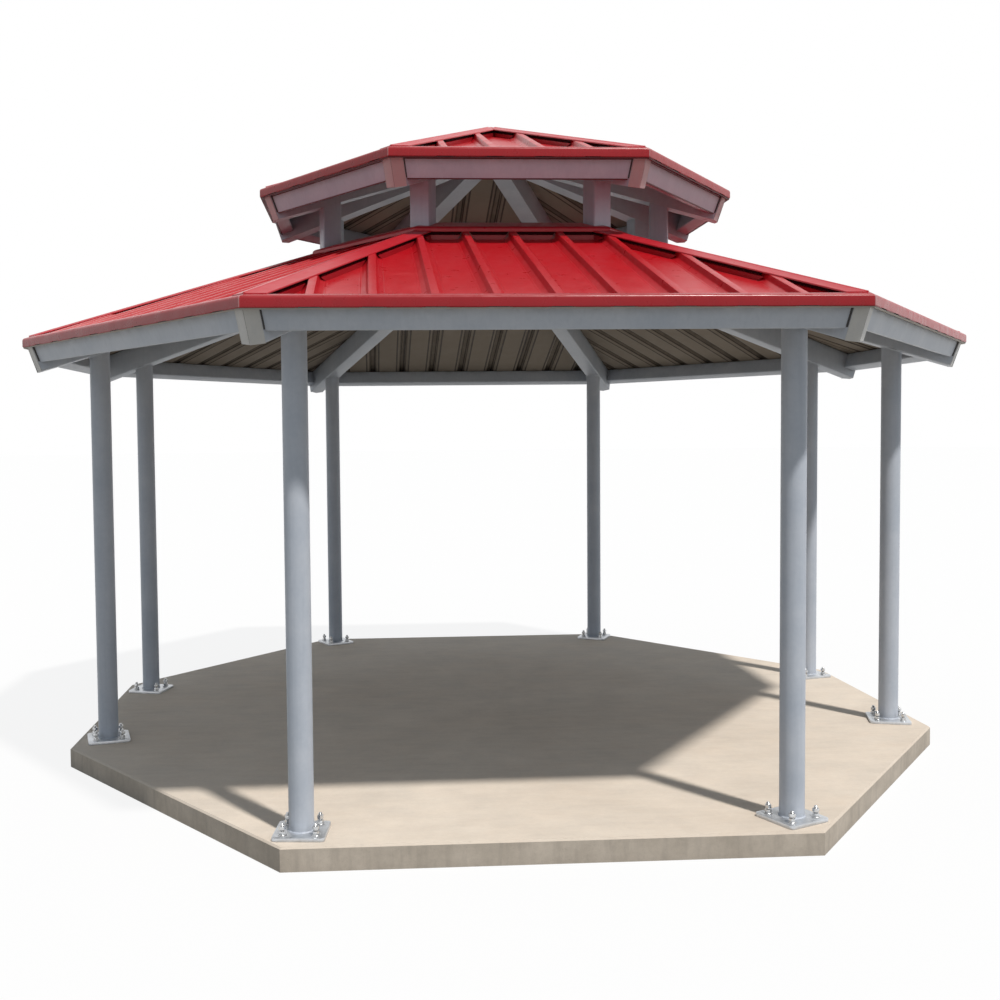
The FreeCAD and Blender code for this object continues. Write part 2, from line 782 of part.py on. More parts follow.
def make_ring_cap():
    """Cap round the foot of the lantern: a nose on the rib crests and a leaf behind it."""
    lengths = []
    inner = lantern_clearance()
    outer = inner + size("ring_cap_run")
    base = size("rib_rise")
    crown = base + size("ring_cap_nose")
    bevel = size("ring_cap_bevel")
    for side in sides:
        nose_profile = [
            (outer, lower.level(outer, base)),
            (outer, lower.level(outer, crown - bevel)),
            (outer - bevel, lower.level(outer - bevel, crown)),
            (inner, lower.level(inner, crown)),
            (inner, lower.level(inner, base)),
        ]
        nose = side.mitred_bar(nose_profile, size("mitre_gap") / 2)
        edge = size("lantern_apothem") - size("ring_width") / 2 / side.reach
        leaf_low = crown - size("ring_cap_sheet")
        leaf_profile = [
            (inner, lower.level(inner, leaf_low)),
            (inner, lower.level(inner, crown)),
            (edge, lower.level(edge, crown)),
            (edge, lower.level(edge, leaf_low)),
        ]
        inset = size("lantern_post") / 2 + size("joint_gap")
        leaf = side.mitred_bar(leaf_profile, inset)
        lengths.append(feature("RingCapLength", nose.fuse(leaf)))
    compound("ring_cap", lengths)


def hub_outline(radius):
    """Plan of the apex hub: one flat face square to each hip."""
    points = []
    for index, corner in enumerate(corners):
        neighbour = corners[(index + 1) % len(corners)]
        between = (corner.out + neighbour.out).normalize()
        points.append(between * (radius / corner.out.dot(between)))
    return points


def make_apex_hub():
    """Hub under the peak that the mitred upper rafters meet on."""
    bottoms = [
        corner.member_height(upper, size("rafter_width"), size("rafter_depth"), size("hub_radius"))
        for corner in corners
    ]
    tops = [
        upper.level(size("hub_radius") / corner.stretch, -size("sheet"))
        - corner.drop_slope * size("rafter_width") / 2
        for corner in corners
    ]
    plan = hub_outline(size("hub_radius"))
    low = [point + UP * min(bottoms) for point in plan]
    high = [point + UP * min(tops) for point in plan]
    keep(feature("Hub", prism_between(low, high)), "apex_hub")


def apex_cap():
    """Small pointed cap on the rib crests, inside the upper ends of the hip caps."""
    apothem = size("hub_radius") - size("joint_gap")
    base = size("rib_rise")
    crown = base + size("hip_cap_sheet")
    under = [corner.plan * apothem + UP * upper.level(apothem, base) for corner in corners]
    over = [corner.plan * apothem + UP * upper.level(apothem, crown) for corner in corners]
    under_peak = UP * upper.level(0, base)
    over_peak = UP * upper.level(0, crown)
    faces = []
    for i in range(len(corners)):
        j = (i + 1) % len(corners)
        faces.append((under[i], under[j], over[j], over[i]))
        faces.append((under[i], under[j], under_peak))
        faces.append((over[i], over[j], over_peak))
    return feature("ApexCap", solid_from(faces))


make_slab()
make_base_plates()
make_posts()
make_lower_rafters()
make_eave_beams()
make_ring_beams()
make_lantern_posts()
make_upper_rafters()
make_roof_panels()
make_trims()
make_ring_cap()
make_apex_hub()
doc.recompute()

# Nothing is written unless every object is sound
for thing in doc.Objects:
    if "Invalid" in thing.State or "Error" in thing.State:
        raise RuntimeError("%s did not build: %s" % (thing.Label, thing.State))
for thing in nodes:
    if thing.Shape.isNull() or not thing.Shape.isValid():
        raise RuntimeError("%s has no valid shape" % thing.Label)

os.makedirs("parts", exist_ok=True)
for thing in nodes:
    thing.Shape.exportStep("parts/%s.step" % thing.Label)
    count = len(thing.Shape.Solids)
    print("%-24s %2d solids %12.0f mm3" % (thing.Label, count, thing.Shape.Volume))
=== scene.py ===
"""Looks of the octagonal two-tier steel gazebo: folded sheets, fastenings, finishes and light.

Everything is in metres in the frame's own axes: +Z up, the front side facing -Y, the
origin at the middle of the slab's underside. Every ring of the octagon is named by its
apothem, the distance from the centre to its front side. A height called above is measured
upright from the flat pans of a roof tier. A distance called inset is measured square to
the upright plane through a hip.
"""

from __future__ import annotations

import logging
import math
from dataclasses import dataclass, field
from enum import Enum
from typing import Callable

import bmesh
import bpy
from mathutils import Matrix, Vector

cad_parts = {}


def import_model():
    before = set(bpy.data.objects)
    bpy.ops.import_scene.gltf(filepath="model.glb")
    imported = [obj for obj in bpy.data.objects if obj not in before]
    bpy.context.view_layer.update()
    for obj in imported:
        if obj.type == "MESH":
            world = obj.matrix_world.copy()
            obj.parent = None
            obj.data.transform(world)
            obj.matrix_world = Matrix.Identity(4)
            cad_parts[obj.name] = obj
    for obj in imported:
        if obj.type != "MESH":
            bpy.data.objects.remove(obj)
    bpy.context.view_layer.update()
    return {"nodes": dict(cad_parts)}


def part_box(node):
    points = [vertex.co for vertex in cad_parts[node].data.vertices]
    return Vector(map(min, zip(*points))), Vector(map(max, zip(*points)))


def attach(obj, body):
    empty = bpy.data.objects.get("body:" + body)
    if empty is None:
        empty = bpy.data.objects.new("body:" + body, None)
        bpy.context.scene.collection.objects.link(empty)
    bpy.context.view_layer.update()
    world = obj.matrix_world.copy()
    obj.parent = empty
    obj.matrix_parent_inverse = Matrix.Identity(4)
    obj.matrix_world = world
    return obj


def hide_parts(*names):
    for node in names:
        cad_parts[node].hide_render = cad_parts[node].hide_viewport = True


LOG = logging.getLogger("gazebo")
ROOT = "root"
UP = Vector((0.0, 0.0, 1.0))
MERGE = 1e-5

Colour = tuple[float, float, float]
Outline = list[tuple[float, float]]
SoftOutline = list[tuple[float, float, float]]
Placing = Callable[[float, float], float]
Socket = bpy.types.NodeSocket
Node = bpy.types.Node


class CornerName(Enum):
    """The eight corners, counter-clockwise from above."""

    FRONT_LEFT = "front_left"
    FRONT_RIGHT = "front_right"
    RIGHT_FRONT = "right_front"
    RIGHT_BACK = "right_back"
    BACK_RIGHT = "back_right"
    BACK_LEFT = "back_left"
    LEFT_BACK = "left_back"
    LEFT_FRONT = "left_front"


class SideName(Enum):
    """The eight sides, counter-clockwise from above, starting with the front."""

    FRONT = "front"
    FRONT_RIGHT = "front_right"
    RIGHT = "right"
    BACK_RIGHT = "back_right"
    BACK = "back"
    BACK_LEFT = "back_left"
    LEFT = "left"
    FRONT_LEFT = "front_left"


class Slot(Enum):
    """The record's material slots."""

    CONCRETE = "concrete"
    PLATE = "galvanised_plate"
    SHEET = "red_sheet"
    TRIM = "red_trim"
    FRAME = "frame_paint"


class End(Enum):
    """The two ends of a side, seen from outside."""

    LEFT = 0
    RIGHT = 1


def softened(points: SoftOutline, steps: int = 3, closed: bool = True) -> Outline:
    """Rounds the corners of an outline.

    Args:
        points: Corners as two coordinates and the length that the curve takes of each leg.
        steps: Straight pieces in each curve.
        closed: Whether the last corner joins the first.

    Returns:
        The outline's points in the same order.
    """
    outline: Outline = []
    count = len(points)
    for i, (x, y, cut) in enumerate(points):
        if cut <= 0.0 or (not closed and i in (0, count - 1)):
            outline.append((x, y))
            continue
        corner = Vector((x, y))
        before = Vector(points[i - 1][:2]) - corner
        after = Vector(points[(i + 1) % count][:2]) - corner
        start = corner + before.normalized() * min(cut, before.length * 0.5)
        stop = corner + after.normalized() * min(cut, after.length * 0.5)
        for step in range(steps + 1):
            share = step / steps
            spot = start * (1 - share) ** 2 + corner * (2 * share * (1 - share)) + stop * share**2
            outline.append((spot.x, spot.y))
    return outline


def soft_box(low: tuple[float, float], high: tuple[float, float], cut: float, steps: int = 3) -> Outline:
    """Rectangle with rounded corners.

    Args:
        low: Its lowest coordinates.
        high: Its highest coordinates.
        cut: Length that each corner's curve takes of its legs.
        steps: Straight pieces in each curve.

    Returns:
        The outline's points.
    """
    corners = [(low[0], low[1]), (high[0], low[1]), (high[0], high[1]), (low[0], high[1])]
    return softened([(x, y, cut) for x, y in corners], steps)


class MeshBuilder:
    """Collects faces in the frame's axes and turns them into one piece."""

    def __init__(self) -> None:
        """Starts with no geometry and the first finish."""
        self.bm = bmesh.new()
        self.finish_index = 0

    def skin(self, vertices: list[bmesh.types.BMVert]) -> None:
        """Adds one face in the current finish."""
        self.bm.faces.new(vertices).material_index = self.finish_index

    def face(self, points: list[Vector]) -> None:
        """Adds one flat face from its corners in order."""
        self.skin([self.bm.verts.new(point) for point in points])

    def loft(self, rows: list[list[Vector]], ring: bool = True, caps: bool = True) -> None:
        """Joins rows of equal length into one skin.

        Args:
            rows: The rows, from one end to the other.
            ring: Whether each row closes on itself.
            caps: Whether the first and last rows are filled.
        """
        made = [[self.bm.verts.new(point) for point in row] for row in rows]
        count = len(made[0])
        for low, high in zip(made, made[1:]):
            for i in range(count if ring else count - 1):
                j = (i + 1) % count
                self.skin([low[i], low[j], high[j], high[i]])
        if caps:
            self.skin(made[0][::-1])
            self.skin(made[-1])

    def lathe(self, place: Matrix, profile: Outline, sides: int, reach: Placing | None = None) -> None:
        """Adds a closed turned form.

        Args:
            place: Frame whose Z is the axis.
            profile: Radius and height of each ring, from the bottom up.
            sides: Number of sides round the axis.
            reach: Radius from a ring's radius and an angle, for forms that aren't round.
        """
        rings = []
        for radius, height in profile:
            ring = []
            for i in range(sides):
                angle = 2 * math.pi * i / sides
                size = reach(radius, angle) if reach else radius
                ring.append(place @ Vector((size * math.cos(angle), size * math.sin(angle), height)))
            rings.append(ring)
        self.loft(rings)

    def piece(
        self,
        name: str,
        slot: Slot,
        finishes: list[Finish],
        replaced: list[str] | None = None,
        crease: float = 35.0,
    ) -> bpy.types.Object:
        """Makes the object, dresses it, and sets it to ride on the body.

        Args:
            name: Name of the piece.
            slot: Material slot of the record for the piece; not used.
            finishes: Its finishes, by the order of their use.
            replaced: CAD nodes that it stands for.
            crease: Edges flatter than this many degrees are shaded smooth.

        Returns:
            The new mesh object.
        """
        bmesh.ops.remove_doubles(self.bm, verts=self.bm.verts, dist=MERGE)
        bmesh.ops.dissolve_degenerate(self.bm, edges=self.bm.edges, dist=MERGE)
        bmesh.ops.recalc_face_normals(self.bm, faces=self.bm.faces)
        mesh = bpy.data.meshes.new(name)
        self.bm.to_mesh(mesh)
        self.bm.free()
        mesh.shade_smooth()
        mesh.set_sharp_from_angle(angle=math.radians(crease))
        for finish in finishes:
            mesh.materials.append(finish.material())
        item = bpy.data.objects.new(name, mesh)
        bpy.context.scene.collection.objects.link(item)
        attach(item, ROOT)
        if replaced:
            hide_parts(*replaced)
        LOG.info("%s: %d faces", name, len(mesh.polygons))
        return item


def axes(origin: Vector, x_axis: Vector, y_axis: Vector, z_axis: Vector) -> Matrix:
    """Frame from an origin and three unit axes.

    Args:
        origin: Where the frame stands.
        x_axis: Its X direction.
        y_axis: Its Y direction.
        z_axis: Its Z direction.

    Returns:
        The matrix from that frame to the object's.
    """
    rotation = Matrix((x_axis, y_axis, z_axis)).transposed().to_4x4()
    return Matrix.Translation(origin) @ rotation


@dataclass
class Tier:
    """One roof tier: eight planes that meet above the centre, measured on the flat pans."""

    name: str
    eave: float
    peak: float
    pitch: float
    rib_offset: float
    beam_depth: float

    def level(self, apothem: float, above: float = 0.0) -> float:
        """Height of the pans, or of a plane above them, at an apothem."""
        return self.peak - apothem * self.pitch + above


@dataclass
class Corner:
    """A hip of the octagon, with the plan directions that its members follow."""

    name: CornerName
    plan: Vector
    drop_slope: float = 0.0

    @property
    def stretch(self) -> float:
        """Plan distance from the centre for each unit of apothem."""
        return self.plan.length

    @property
    def out(self) -> Vector:
        """Plan direction away from the centre."""
        return self.plan.normalized()

    @property
    def across(self) -> Vector:
        """Plan direction across the hip."""
        return UP.cross(self.out)

    def upright(self, radius: float, height: float) -> Matrix:
        """Frame with X away from the centre, Y across the hip and Z up."""
        return axes(self.out * radius + UP * height, self.out, self.across, UP)

    def down_hip(self, tier: Tier, width: float, sheet: float) -> Matrix:
        """Frame on the top face of a rafter, X down the hip, under the peak.

        Args:
            tier: The roof tier.
            width: Width of the rafter, whose top edges touch the sheets.
            sheet: Thickness of the sheets, measured upright.

        Returns:
            The frame, its Z square to the rafter's top.
        """
        incline = math.atan2(tier.pitch, self.stretch)
        along = self.out * math.cos(incline) - UP * math.sin(incline)
        top = tier.level(0.0, -sheet) - self.drop_slope * width / 2
        return axes(UP * top, along, self.across, along.cross(self.across))


@dataclass
class Side:
    """One of the eight sides between two hips."""

    name: SideName
    left: Corner
    right: Corner
    along: Vector = field(init=False)
    out: Vector = field(init=False)
    reach: float = field(init=False)

    def __post_init__(self) -> None:
        """Works out the side's directions and its distance for each unit of apothem."""
        self.along = (self.right.plan - self.left.plan).normalized()
        self.out = self.along.cross(UP)
        self.reach = self.left.plan.dot(self.out)

    def foot(self, end: End) -> float:
        """Place of a hip along the side for each unit of apothem."""
        return (self.left, self.right)[end.value].plan.dot(self.along)

    def spread(self, end: End) -> float:
        """Length along the side for each unit of inset, towards the side's middle."""
        size = (self.left, self.right)[end.value].stretch / self.reach
        return size if end is End.LEFT else -size

    def edge(self, end: End, apothem: float, inset: float = 0.0) -> float:
        """Place along the side of a line beside a hip, at an apothem."""
        return apothem * self.foot(end) + inset * self.spread(end)

    def apothem_at(self, end: End, along: float, inset: float = 0.0) -> float:
        """Apothem at which a line beside a hip passes a place along the side."""
        return (along - inset * self.spread(end)) / self.foot(end)

    def point(self, along: float, apothem: float, height: float) -> Vector:
        """Point from its place along the side, its apothem and its height."""
        return self.along * along + self.out * (apothem * self.reach) + UP * height

    def on_slope(self, tier: Tier, up_slope: float, normal: float) -> tuple[float, float]:
        """Apothem and height of a point given from the eave line, along and square to the roof.

        Args:
            tier: The roof tier.
            up_slope: Distance from the eave line up the slope.
            normal: Distance out of the pans' plane.

        Returns:
            The apothem and the height.
        """
        angle = math.atan2(tier.pitch, self.reach)
        outward = tier.eave * self.reach - up_slope * math.cos(angle) + normal * math.sin(angle)
        height = tier.level(tier.eave) + up_slope * math.sin(angle) + normal * math.cos(angle)
        return outward / self.reach, height

    def run(self, builder: MeshBuilder, profile: Outline, inset: float) -> None:
        """Adds a bar along the side, cut beside both hips.

        Args:
            builder: Where it goes.
            profile: Its closed section as apothem and height.
            inset: Distance kept from the hip planes.
        """
        rows = []
        for end in End:
            rows.append([self.point(self.edge(end, a, inset), a, z) for a, z in profile])
        builder.loft(rows)

    def stub(self, builder: MeshBuilder, end: End, profile: Outline, insets: list[float]) -> None:
        """Adds a short bar beside one hip.

        Args:
            builder: Where it goes.
            end: Which end of the side.
            profile: Its closed section as apothem and height.
            insets: Its first and last distance from the hip plane.
        """
        rows = []
        for inset in insets:
            rows.append([self.point(self.edge(end, a, inset), a, z) for a, z in profile])
        builder.loft(rows)


@dataclass
class Plan:
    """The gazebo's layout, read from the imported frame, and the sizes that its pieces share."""

    sheet: float = 0.005
    sheet_gap: float = 0.003
    rib_rise: float = 0.050
    rib_pitch: float = 0.305
    rib_base: float = 0.116
    rib_crest: float = 0.042
    trim_sheet: float = 0.003
    trim_face: float = 0.054
    trim_return: float = 0.040
    cap_sheet: float = 0.008
    cap_wing: float = 0.100
    ring_run: float = 0.064
    ring_nose: float = 0.032
    ring_width: float = 0.100
    rafter_width: float = 0.140
    rafter_depth: float = 0.180
    rafter_set_back: float = 0.030
    beam_width: float = 0.100
    beam_set_back: float = 0.042
    lantern_apothem: float = 1.212
    lantern_post: float = 0.135
    hub_radius: float = 0.060
    joint_gap: float = 0.002
    pitch: float = 1.0 / 3.0
    corners: list[Corner] = field(default_factory=list)
    sides: list[Side] = field(default_factory=list)

    def __post_init__(self) -> None:
        """Works out corners, sides and tiers from the nodes' boxes."""
        middles = [self.middle("post_" + name.value) for name in CornerName]
        self.post_apothem = middles[2].x
        self.corners = [
            Corner(name, middle / self.post_apothem) for name, middle in zip(CornerName, middles)
        ]
        self.sides = [
            Side(name, self.corners[i], self.corners[(i + 1) % len(self.corners)])
            for i, name in enumerate(SideName)
        ]
        for side in self.sides:
            for corner in (side.left, side.right):
                slope = abs(corner.across.dot(side.out)) / side.reach * self.pitch
                corner.drop_slope = max(corner.drop_slope, slope)
        self.plate_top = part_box("base_plates")[1].z
        self.least_reach = min(side.reach for side in self.sides)
        narrowest = min(corner.stretch for corner in self.corners)
        self.clearance = self.lantern_apothem + (self.lantern_post / 2 + self.joint_gap) / narrowest
        self.lower = self.tier("lower", "eave_trim", 0.0, 0.123)
        self.upper = self.tier("upper", "upper_eave_trim", self.rib_pitch / 2, 0.140)

    @staticmethod
    def middle(node: str) -> Vector:
        """Plan middle of a node's box."""
        low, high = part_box(node)
        return Vector(((low.x + high.x) / 2, (low.y + high.y) / 2, 0.0))

    def tier(self, name: str, trim: str, rib_offset: float, beam_depth: float) -> Tier:
        """Reads one tier.

        Args:
            name: Its name.
            trim: The node of its eave trim.
            rib_offset: Place of a rib beside the middle of each side.
            beam_depth: Depth of its eave beams.

        Returns:
            The tier.
        """
        low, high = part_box(trim)
        pan_at_eave = low.z + self.trim_face - self.trim_sheet - self.rib_rise
        return Tier(name, high.x, pan_at_eave + high.x * self.pitch, self.pitch, rib_offset, beam_depth)

    def ribs(self, side: Side, tier: Tier) -> list[float]:
        """Middles of a side's ribs along it."""
        start = tier.eave - self.trim_sheet / side.reach
        half = self.rib_base / 2
        first = math.ceil((side.edge(End.LEFT, start) + half - tier.rib_offset) / self.rib_pitch)
        last = math.floor((side.edge(End.RIGHT, start) - half - tier.rib_offset) / self.rib_pitch)
        return [number * self.rib_pitch + tier.rib_offset for number in range(first, last + 1)]

    def rafter_bottom(self, corner: Corner, tier: Tier, radius: float) -> float:
        """Height of a rafter's underside at a plan distance from the centre."""
        place = corner.down_hip(tier, self.rafter_width, self.sheet)
        normal = place.to_3x3() @ UP
        fall = self.rafter_depth + radius * normal.dot(corner.out)
        return place.translation.z - fall / normal.z


class NodeSheet:
    """Short ways to add and join nodes in one node tree."""

    def __init__(self, tree: bpy.types.NodeTree) -> None:
        """Takes the tree that nodes go in."""
        self.tree = tree

    def add(self, kind: str, inputs: dict | None = None, **settings: object) -> Node:
        """Adds a node.

        Args:
            kind: Its type name, without the leading ShaderNode.
            inputs: Values or sockets for its inputs, by name or number.
            **settings: Properties of the node itself.

        Returns:
            The node.
        """
        node = self.tree.nodes.new("ShaderNode" + kind)
        for key, value in settings.items():
            setattr(node, key, value)
        for key, value in (inputs or {}).items():
            self.feed(node.inputs[key], value)
        return node

    def feed(self, socket: Socket, value: object) -> None:
        """Joins a socket to an input, or sets the input's value."""
        if isinstance(value, Socket):
            self.tree.links.new(value, socket)
        elif isinstance(value, tuple) and len(value) == 3 and socket.type == "RGBA":
            socket.default_value = (*value, 1.0)
        else:
            socket.default_value = value

    def maths(self, operation: str, first: object, second: object = 0.0) -> Socket:
        """Adds a Math node and returns its result."""
        return self.add("Math", {0: first, 1: second}, operation=operation).outputs[0]

    def blend(self, share: object, first: object, second: object) -> Socket:
        """Mixes two colours and returns the result.

        Args:
            share: How much of the second colour.
            first: First colour or socket.
            second: Second colour or socket.

        Returns:
            The colour socket.
        """
        node = self.add("Mix", data_type="RGBA")
        self.feed(node.inputs[0], share)
        self.feed(node.inputs[6], first)
        self.feed(node.inputs[7], second)
        return node.outputs[2]

    def remap(
        self, value: object, low: float, high: float, to_low: float = 0.0, to_high: float = 1.0
    ) -> Socket:
        """Maps a range of values to another, clamped, and returns the result."""
        return self.add("MapRange", {0: value, 1: low, 2: high, 3: to_low, 4: to_high}).outputs[0]

    def noise(
        self, vector: object, scale: float, detail: float = 4.0, rough: float = 0.5
    ) -> Socket:
        """Noise between about 0.3 and 0.7 at a scale, for a coordinate."""
        inputs = {"Vector": vector, "Scale": scale, "Detail": detail, "Roughness": rough}
        return self.add("TexNoise", inputs).outputs[0]

    def scaled(self, value: object, share: float) -> Socket:
        """A value times a constant."""
        return self.maths("MULTIPLY", value, share)


class EffectGroup:
    """A shader node group with named sockets, built once and shared by materials."""

    name = "effect"
    inputs: tuple[tuple[str, str, float], ...] = ()
    outputs: tuple[tuple[str, str], ...] = ()

    def tree(self) -> bpy.types.NodeTree:
        """Returns the group's tree, making it on first use."""
        found = bpy.data.node_groups.get(self.name)
        if found:
            return found
        tree = bpy.data.node_groups.new(self.name, "ShaderNodeTree")
        for label, kind, value in self.inputs:
            socket = tree.interface.new_socket(label, in_out="INPUT", socket_type=kind)
            if kind == "NodeSocketFloat":
                socket.default_value = value
        for label, kind in self.outputs:
            tree.interface.new_socket(label, in_out="OUTPUT", socket_type=kind)
        entry = tree.nodes.new("NodeGroupInput")
        exit_node = tree.nodes.new("NodeGroupOutput")
        self.fill(NodeSheet(tree), entry, exit_node)
        return tree

    def fill(self, sheet: NodeSheet, entry: Node, exit_node: Node) -> None:
        """Adds the group's own nodes."""
        raise NotImplementedError

    def place(self, sheet: NodeSheet, **values: object) -> Node:
        """Puts the group in a material.

        Args:
            sheet: The material's nodes.
            **values: Inputs by name, with underscores for spaces.

        Returns:
            The group node.
        """
        node = sheet.tree.nodes.new("ShaderNodeGroup")
        node.node_tree = self.tree()
        for key, value in values.items():
            sheet.feed(node.inputs[key.replace("_", " ")], value)
        return node


class CloudyWear(EffectGroup):
    """Soft cloudy variation at two scales, for fading and handling marks."""

    name = "cloudy_wear"
    inputs = (
        ("Vector", "NodeSocketVector", 0.0),
        ("Scale", "NodeSocketFloat", 2.0),
        ("Contrast", "NodeSocketFloat", 1.0),
    )
    outputs = (("Mask", "NodeSocketFloat"), ("Fine", "NodeSocketFloat"))

    def fill(self, sheet: NodeSheet, entry: Node, exit_node: Node) -> None:
        """Adds a broad and a fine noise and their sum."""
        vector, scale, contrast = entry.outputs[0], entry.outputs[1], entry.outputs[2]
        broad = sheet.noise(vector, scale, 5.0)
        fine = sheet.noise(vector, sheet.scaled(scale, 9.0), 6.0, 0.6)
        both = sheet.maths("ADD", sheet.scaled(broad, 0.7), sheet.scaled(fine, 0.3))
        centred = sheet.maths("MULTIPLY", sheet.maths("SUBTRACT", both, 0.5), contrast)
        mask = sheet.maths("ADD", sheet.scaled(centred, 2.5), 0.5)
        sheet.feed(exit_node.inputs[0], sheet.remap(mask, 0.0, 1.0))
        sheet.feed(exit_node.inputs[1], fine)


class RainStreaks(EffectGroup):
    """Narrow streaks that run down the object, for dust and rain marks."""

    name = "rain_streaks"
    inputs = (
        ("Vector", "NodeSocketVector", 0.0),
        ("Width", "NodeSocketFloat", 30.0),
        ("Length", "NodeSocketFloat", 1.5),
    )
    outputs = (("Mask", "NodeSocketFloat"),)

    def fill(self, sheet: NodeSheet, entry: Node, exit_node: Node) -> None:
        """Stretches a noise along Z and keeps its peaks."""
        scale = sheet.add("CombineXYZ", {0: entry.outputs[1], 1: entry.outputs[1], 2: entry.outputs[2]})
        stretched = sheet.add("VectorMath", {0: entry.outputs[0], 1: scale.outputs[0]}, operation="MULTIPLY")
        streak = sheet.add("TexNoise", {"Vector": stretched.outputs[0], "Scale": 1.0, "Detail": 4.0})
        sheet.feed(exit_node.inputs[0], sheet.remap(streak.outputs[0], 0.48, 0.72))


class PaintedCornerShade(EffectGroup):
    """Painted shade that gathers in corners and under laps: ambient occlusion broken up by noise."""

    name = "painted_corner_shade"
    inputs = (("Reach", "NodeSocketFloat", 0.05), ("Vector", "NodeSocketVector", 0.0))
    outputs = (("Mask", "NodeSocketFloat"),)

    def fill(self, sheet: NodeSheet, entry: Node, exit_node: Node) -> None:
        """Turns ambient occlusion into a broken mask of painted shade."""
        corner = sheet.add("AmbientOcclusion", {"Distance": entry.outputs[0]}, samples=4)
        shade = sheet.remap(corner.outputs["AO"], 0.35, 0.95, 1.0, 0.0)
        broken = sheet.remap(sheet.noise(entry.outputs[1], 14.0), 0.35, 0.65, 0.35, 1.0)
        sheet.feed(exit_node.inputs[0], sheet.maths("MULTIPLY", shade, broken))


class Spangle(EffectGroup):
    """Zinc crystals of a galvanised surface."""

    name = "zinc_spangle"
    inputs = (("Vector", "NodeSocketVector", 0.0), ("Scale", "NodeSocketFloat", 90.0))
    outputs = (("Value", "NodeSocketFloat"), ("Height", "NodeSocketFloat"))

    def fill(self, sheet: NodeSheet, entry: Node, exit_node: Node) -> None:
        """Adds crystal cells with a shade each."""
        cells = sheet.add("TexVoronoi", {"Vector": entry.outputs[0], "Scale": entry.outputs[1]})
        shade = sheet.add("SeparateColor", {0: cells.outputs["Color"]})
        sheet.feed(exit_node.inputs[0], shade.outputs[0])
        sheet.feed(exit_node.inputs[1], cells.outputs["Distance"])


WEAR = CloudyWear()
STREAKS = RainStreaks()
PAINTED_CORNER_SHADE = PaintedCornerShade()
SPANGLE = Spangle()


@dataclass(frozen=True)
class Finish:
    """Base of every finish: a name and the shader's plain values."""

    name: str
    colour: Colour
    roughness: float = 0.4
    metallic: float = 0.0
    coat: float = 0.0
    specular: float = 0.5

    def material(self) -> bpy.types.Material:
        """Makes the material, or returns the one made before."""
        found = bpy.data.materials.get(self.name)
        if found:
            return found
        item = bpy.data.materials.new(self.name)
        item.use_nodes = True
        tree = item.node_tree
        tree.nodes.clear()
        sheet = NodeSheet(tree)
        shader = sheet.add("BsdfPrincipled")
        shader.inputs["Base Color"].default_value = (*self.colour, 1.0)
        shader.inputs["Roughness"].default_value = self.roughness
        shader.inputs["Metallic"].default_value = self.metallic
        shader.inputs["Coat Weight"].default_value = self.coat
        shader.inputs["Coat Roughness"].default_value = 0.15
        shader.inputs["Specular IOR Level"].default_value = self.specular
        output = sheet.add("OutputMaterial")
        tree.links.new(shader.outputs[0], output.inputs[0])
        place = sheet.add("TexCoord").outputs["Object"]
        self.dress(sheet, shader, place)
        return item

    def dress(self, sheet: NodeSheet, shader: Node, place: Socket) -> None:
        """Adds the finish's own detail.

        Args:
            sheet: The material's nodes.
            shader: Its Principled BSDF.
            place: Object coordinates.
        """

    @staticmethod
    def bump(sheet: NodeSheet, shader: Node, height: object, depth: float) -> None:
        """Feeds a height to the shader's normal, its full step given in metres."""
        node = sheet.add("Bump", {"Height": height, "Distance": depth, "Strength": 1.0})
        sheet.feed(shader.inputs["Normal"], node.outputs[0])

    def gloss(
        self, sheet: NodeSheet, shader: Node, wear: Socket, below: float, above: float
    ) -> None:
        """Varies the roughness with a wear value.

        Args:
            sheet: The material's nodes.
            shader: Its Principled BSDF.
            wear: The value, between about 0.3 and 0.7.
            below: How far the roughness falls under the finish's own.
            above: How far it rises over it.
        """
        rough = sheet.remap(wear, 0.3, 0.7, self.roughness - below, self.roughness + above)
        sheet.feed(shader.inputs["Roughness"], rough)

    @staticmethod
    def with_painted_corner_shade(
        sheet: NodeSheet, place: Socket, colour: object, shade_colour: Colour, reach: float, share: float
    ) -> Socket:
        """Darkens a colour in the corners and under laps: painted shade from ambient occlusion.

        Args:
            sheet: The material's nodes.
            place: Object coordinates.
            colour: The clean colour.
            shade_colour: Colour of the painted shade.
            reach: How far it reaches out of a corner.
            share: Its strength.

        Returns:
            The colour socket.
        """
        # Painted shade: ambient occlusion picks the corners and laps to darken.
        shade_mask = PAINTED_CORNER_SHADE.place(sheet, Reach=reach, Vector=place)
        return sheet.blend(sheet.scaled(shade_mask.outputs[0], share), colour, shade_colour)


@dataclass(frozen=True)
class RoofSheetFinish(Finish):
    """Glossy red coil coating with slight fading, dust streaks, painted shade in the folds and oil-canning.
    """

    faded: Colour = (0.50, 0.016, 0.030)
    dust: Colour = (0.50, 0.20, 0.18)
    # Red of the painted shade in the folds and corners.
    deep: Colour = (0.20, 0.002, 0.006)

    def dress(self, sheet: NodeSheet, shader: Node, place: Socket) -> None:
        """Adds fading, streaks, painted shade in the folds and the sheet's slight waviness."""
        wear = WEAR.place(sheet, Vector=place, Scale=1.1, Contrast=1.0)
        streaks = STREAKS.place(sheet, Vector=place, Width=16.0, Length=3.0)
        red = sheet.blend(sheet.scaled(wear.outputs[0], 0.35), self.colour, self.faded)
        red = sheet.blend(sheet.scaled(streaks.outputs[0], 0.05), red, self.dust)
        # Painted shade: the red turns deeper in the folds and corners.
        red = self.with_painted_corner_shade(sheet, place, red, self.deep, 0.06, 0.6)
        sheet.feed(shader.inputs["Base Color"], red)
        self.gloss(sheet, shader, wear.outputs[1], 0.04, 0.07)
        wave = sheet.noise(place, 2.2, 1.0)
        grain = sheet.noise(place, 420.0, 2.0)
        height = sheet.maths("ADD", wave, sheet.scaled(grain, 0.01))
        self.bump(sheet, shader, height, 0.010)


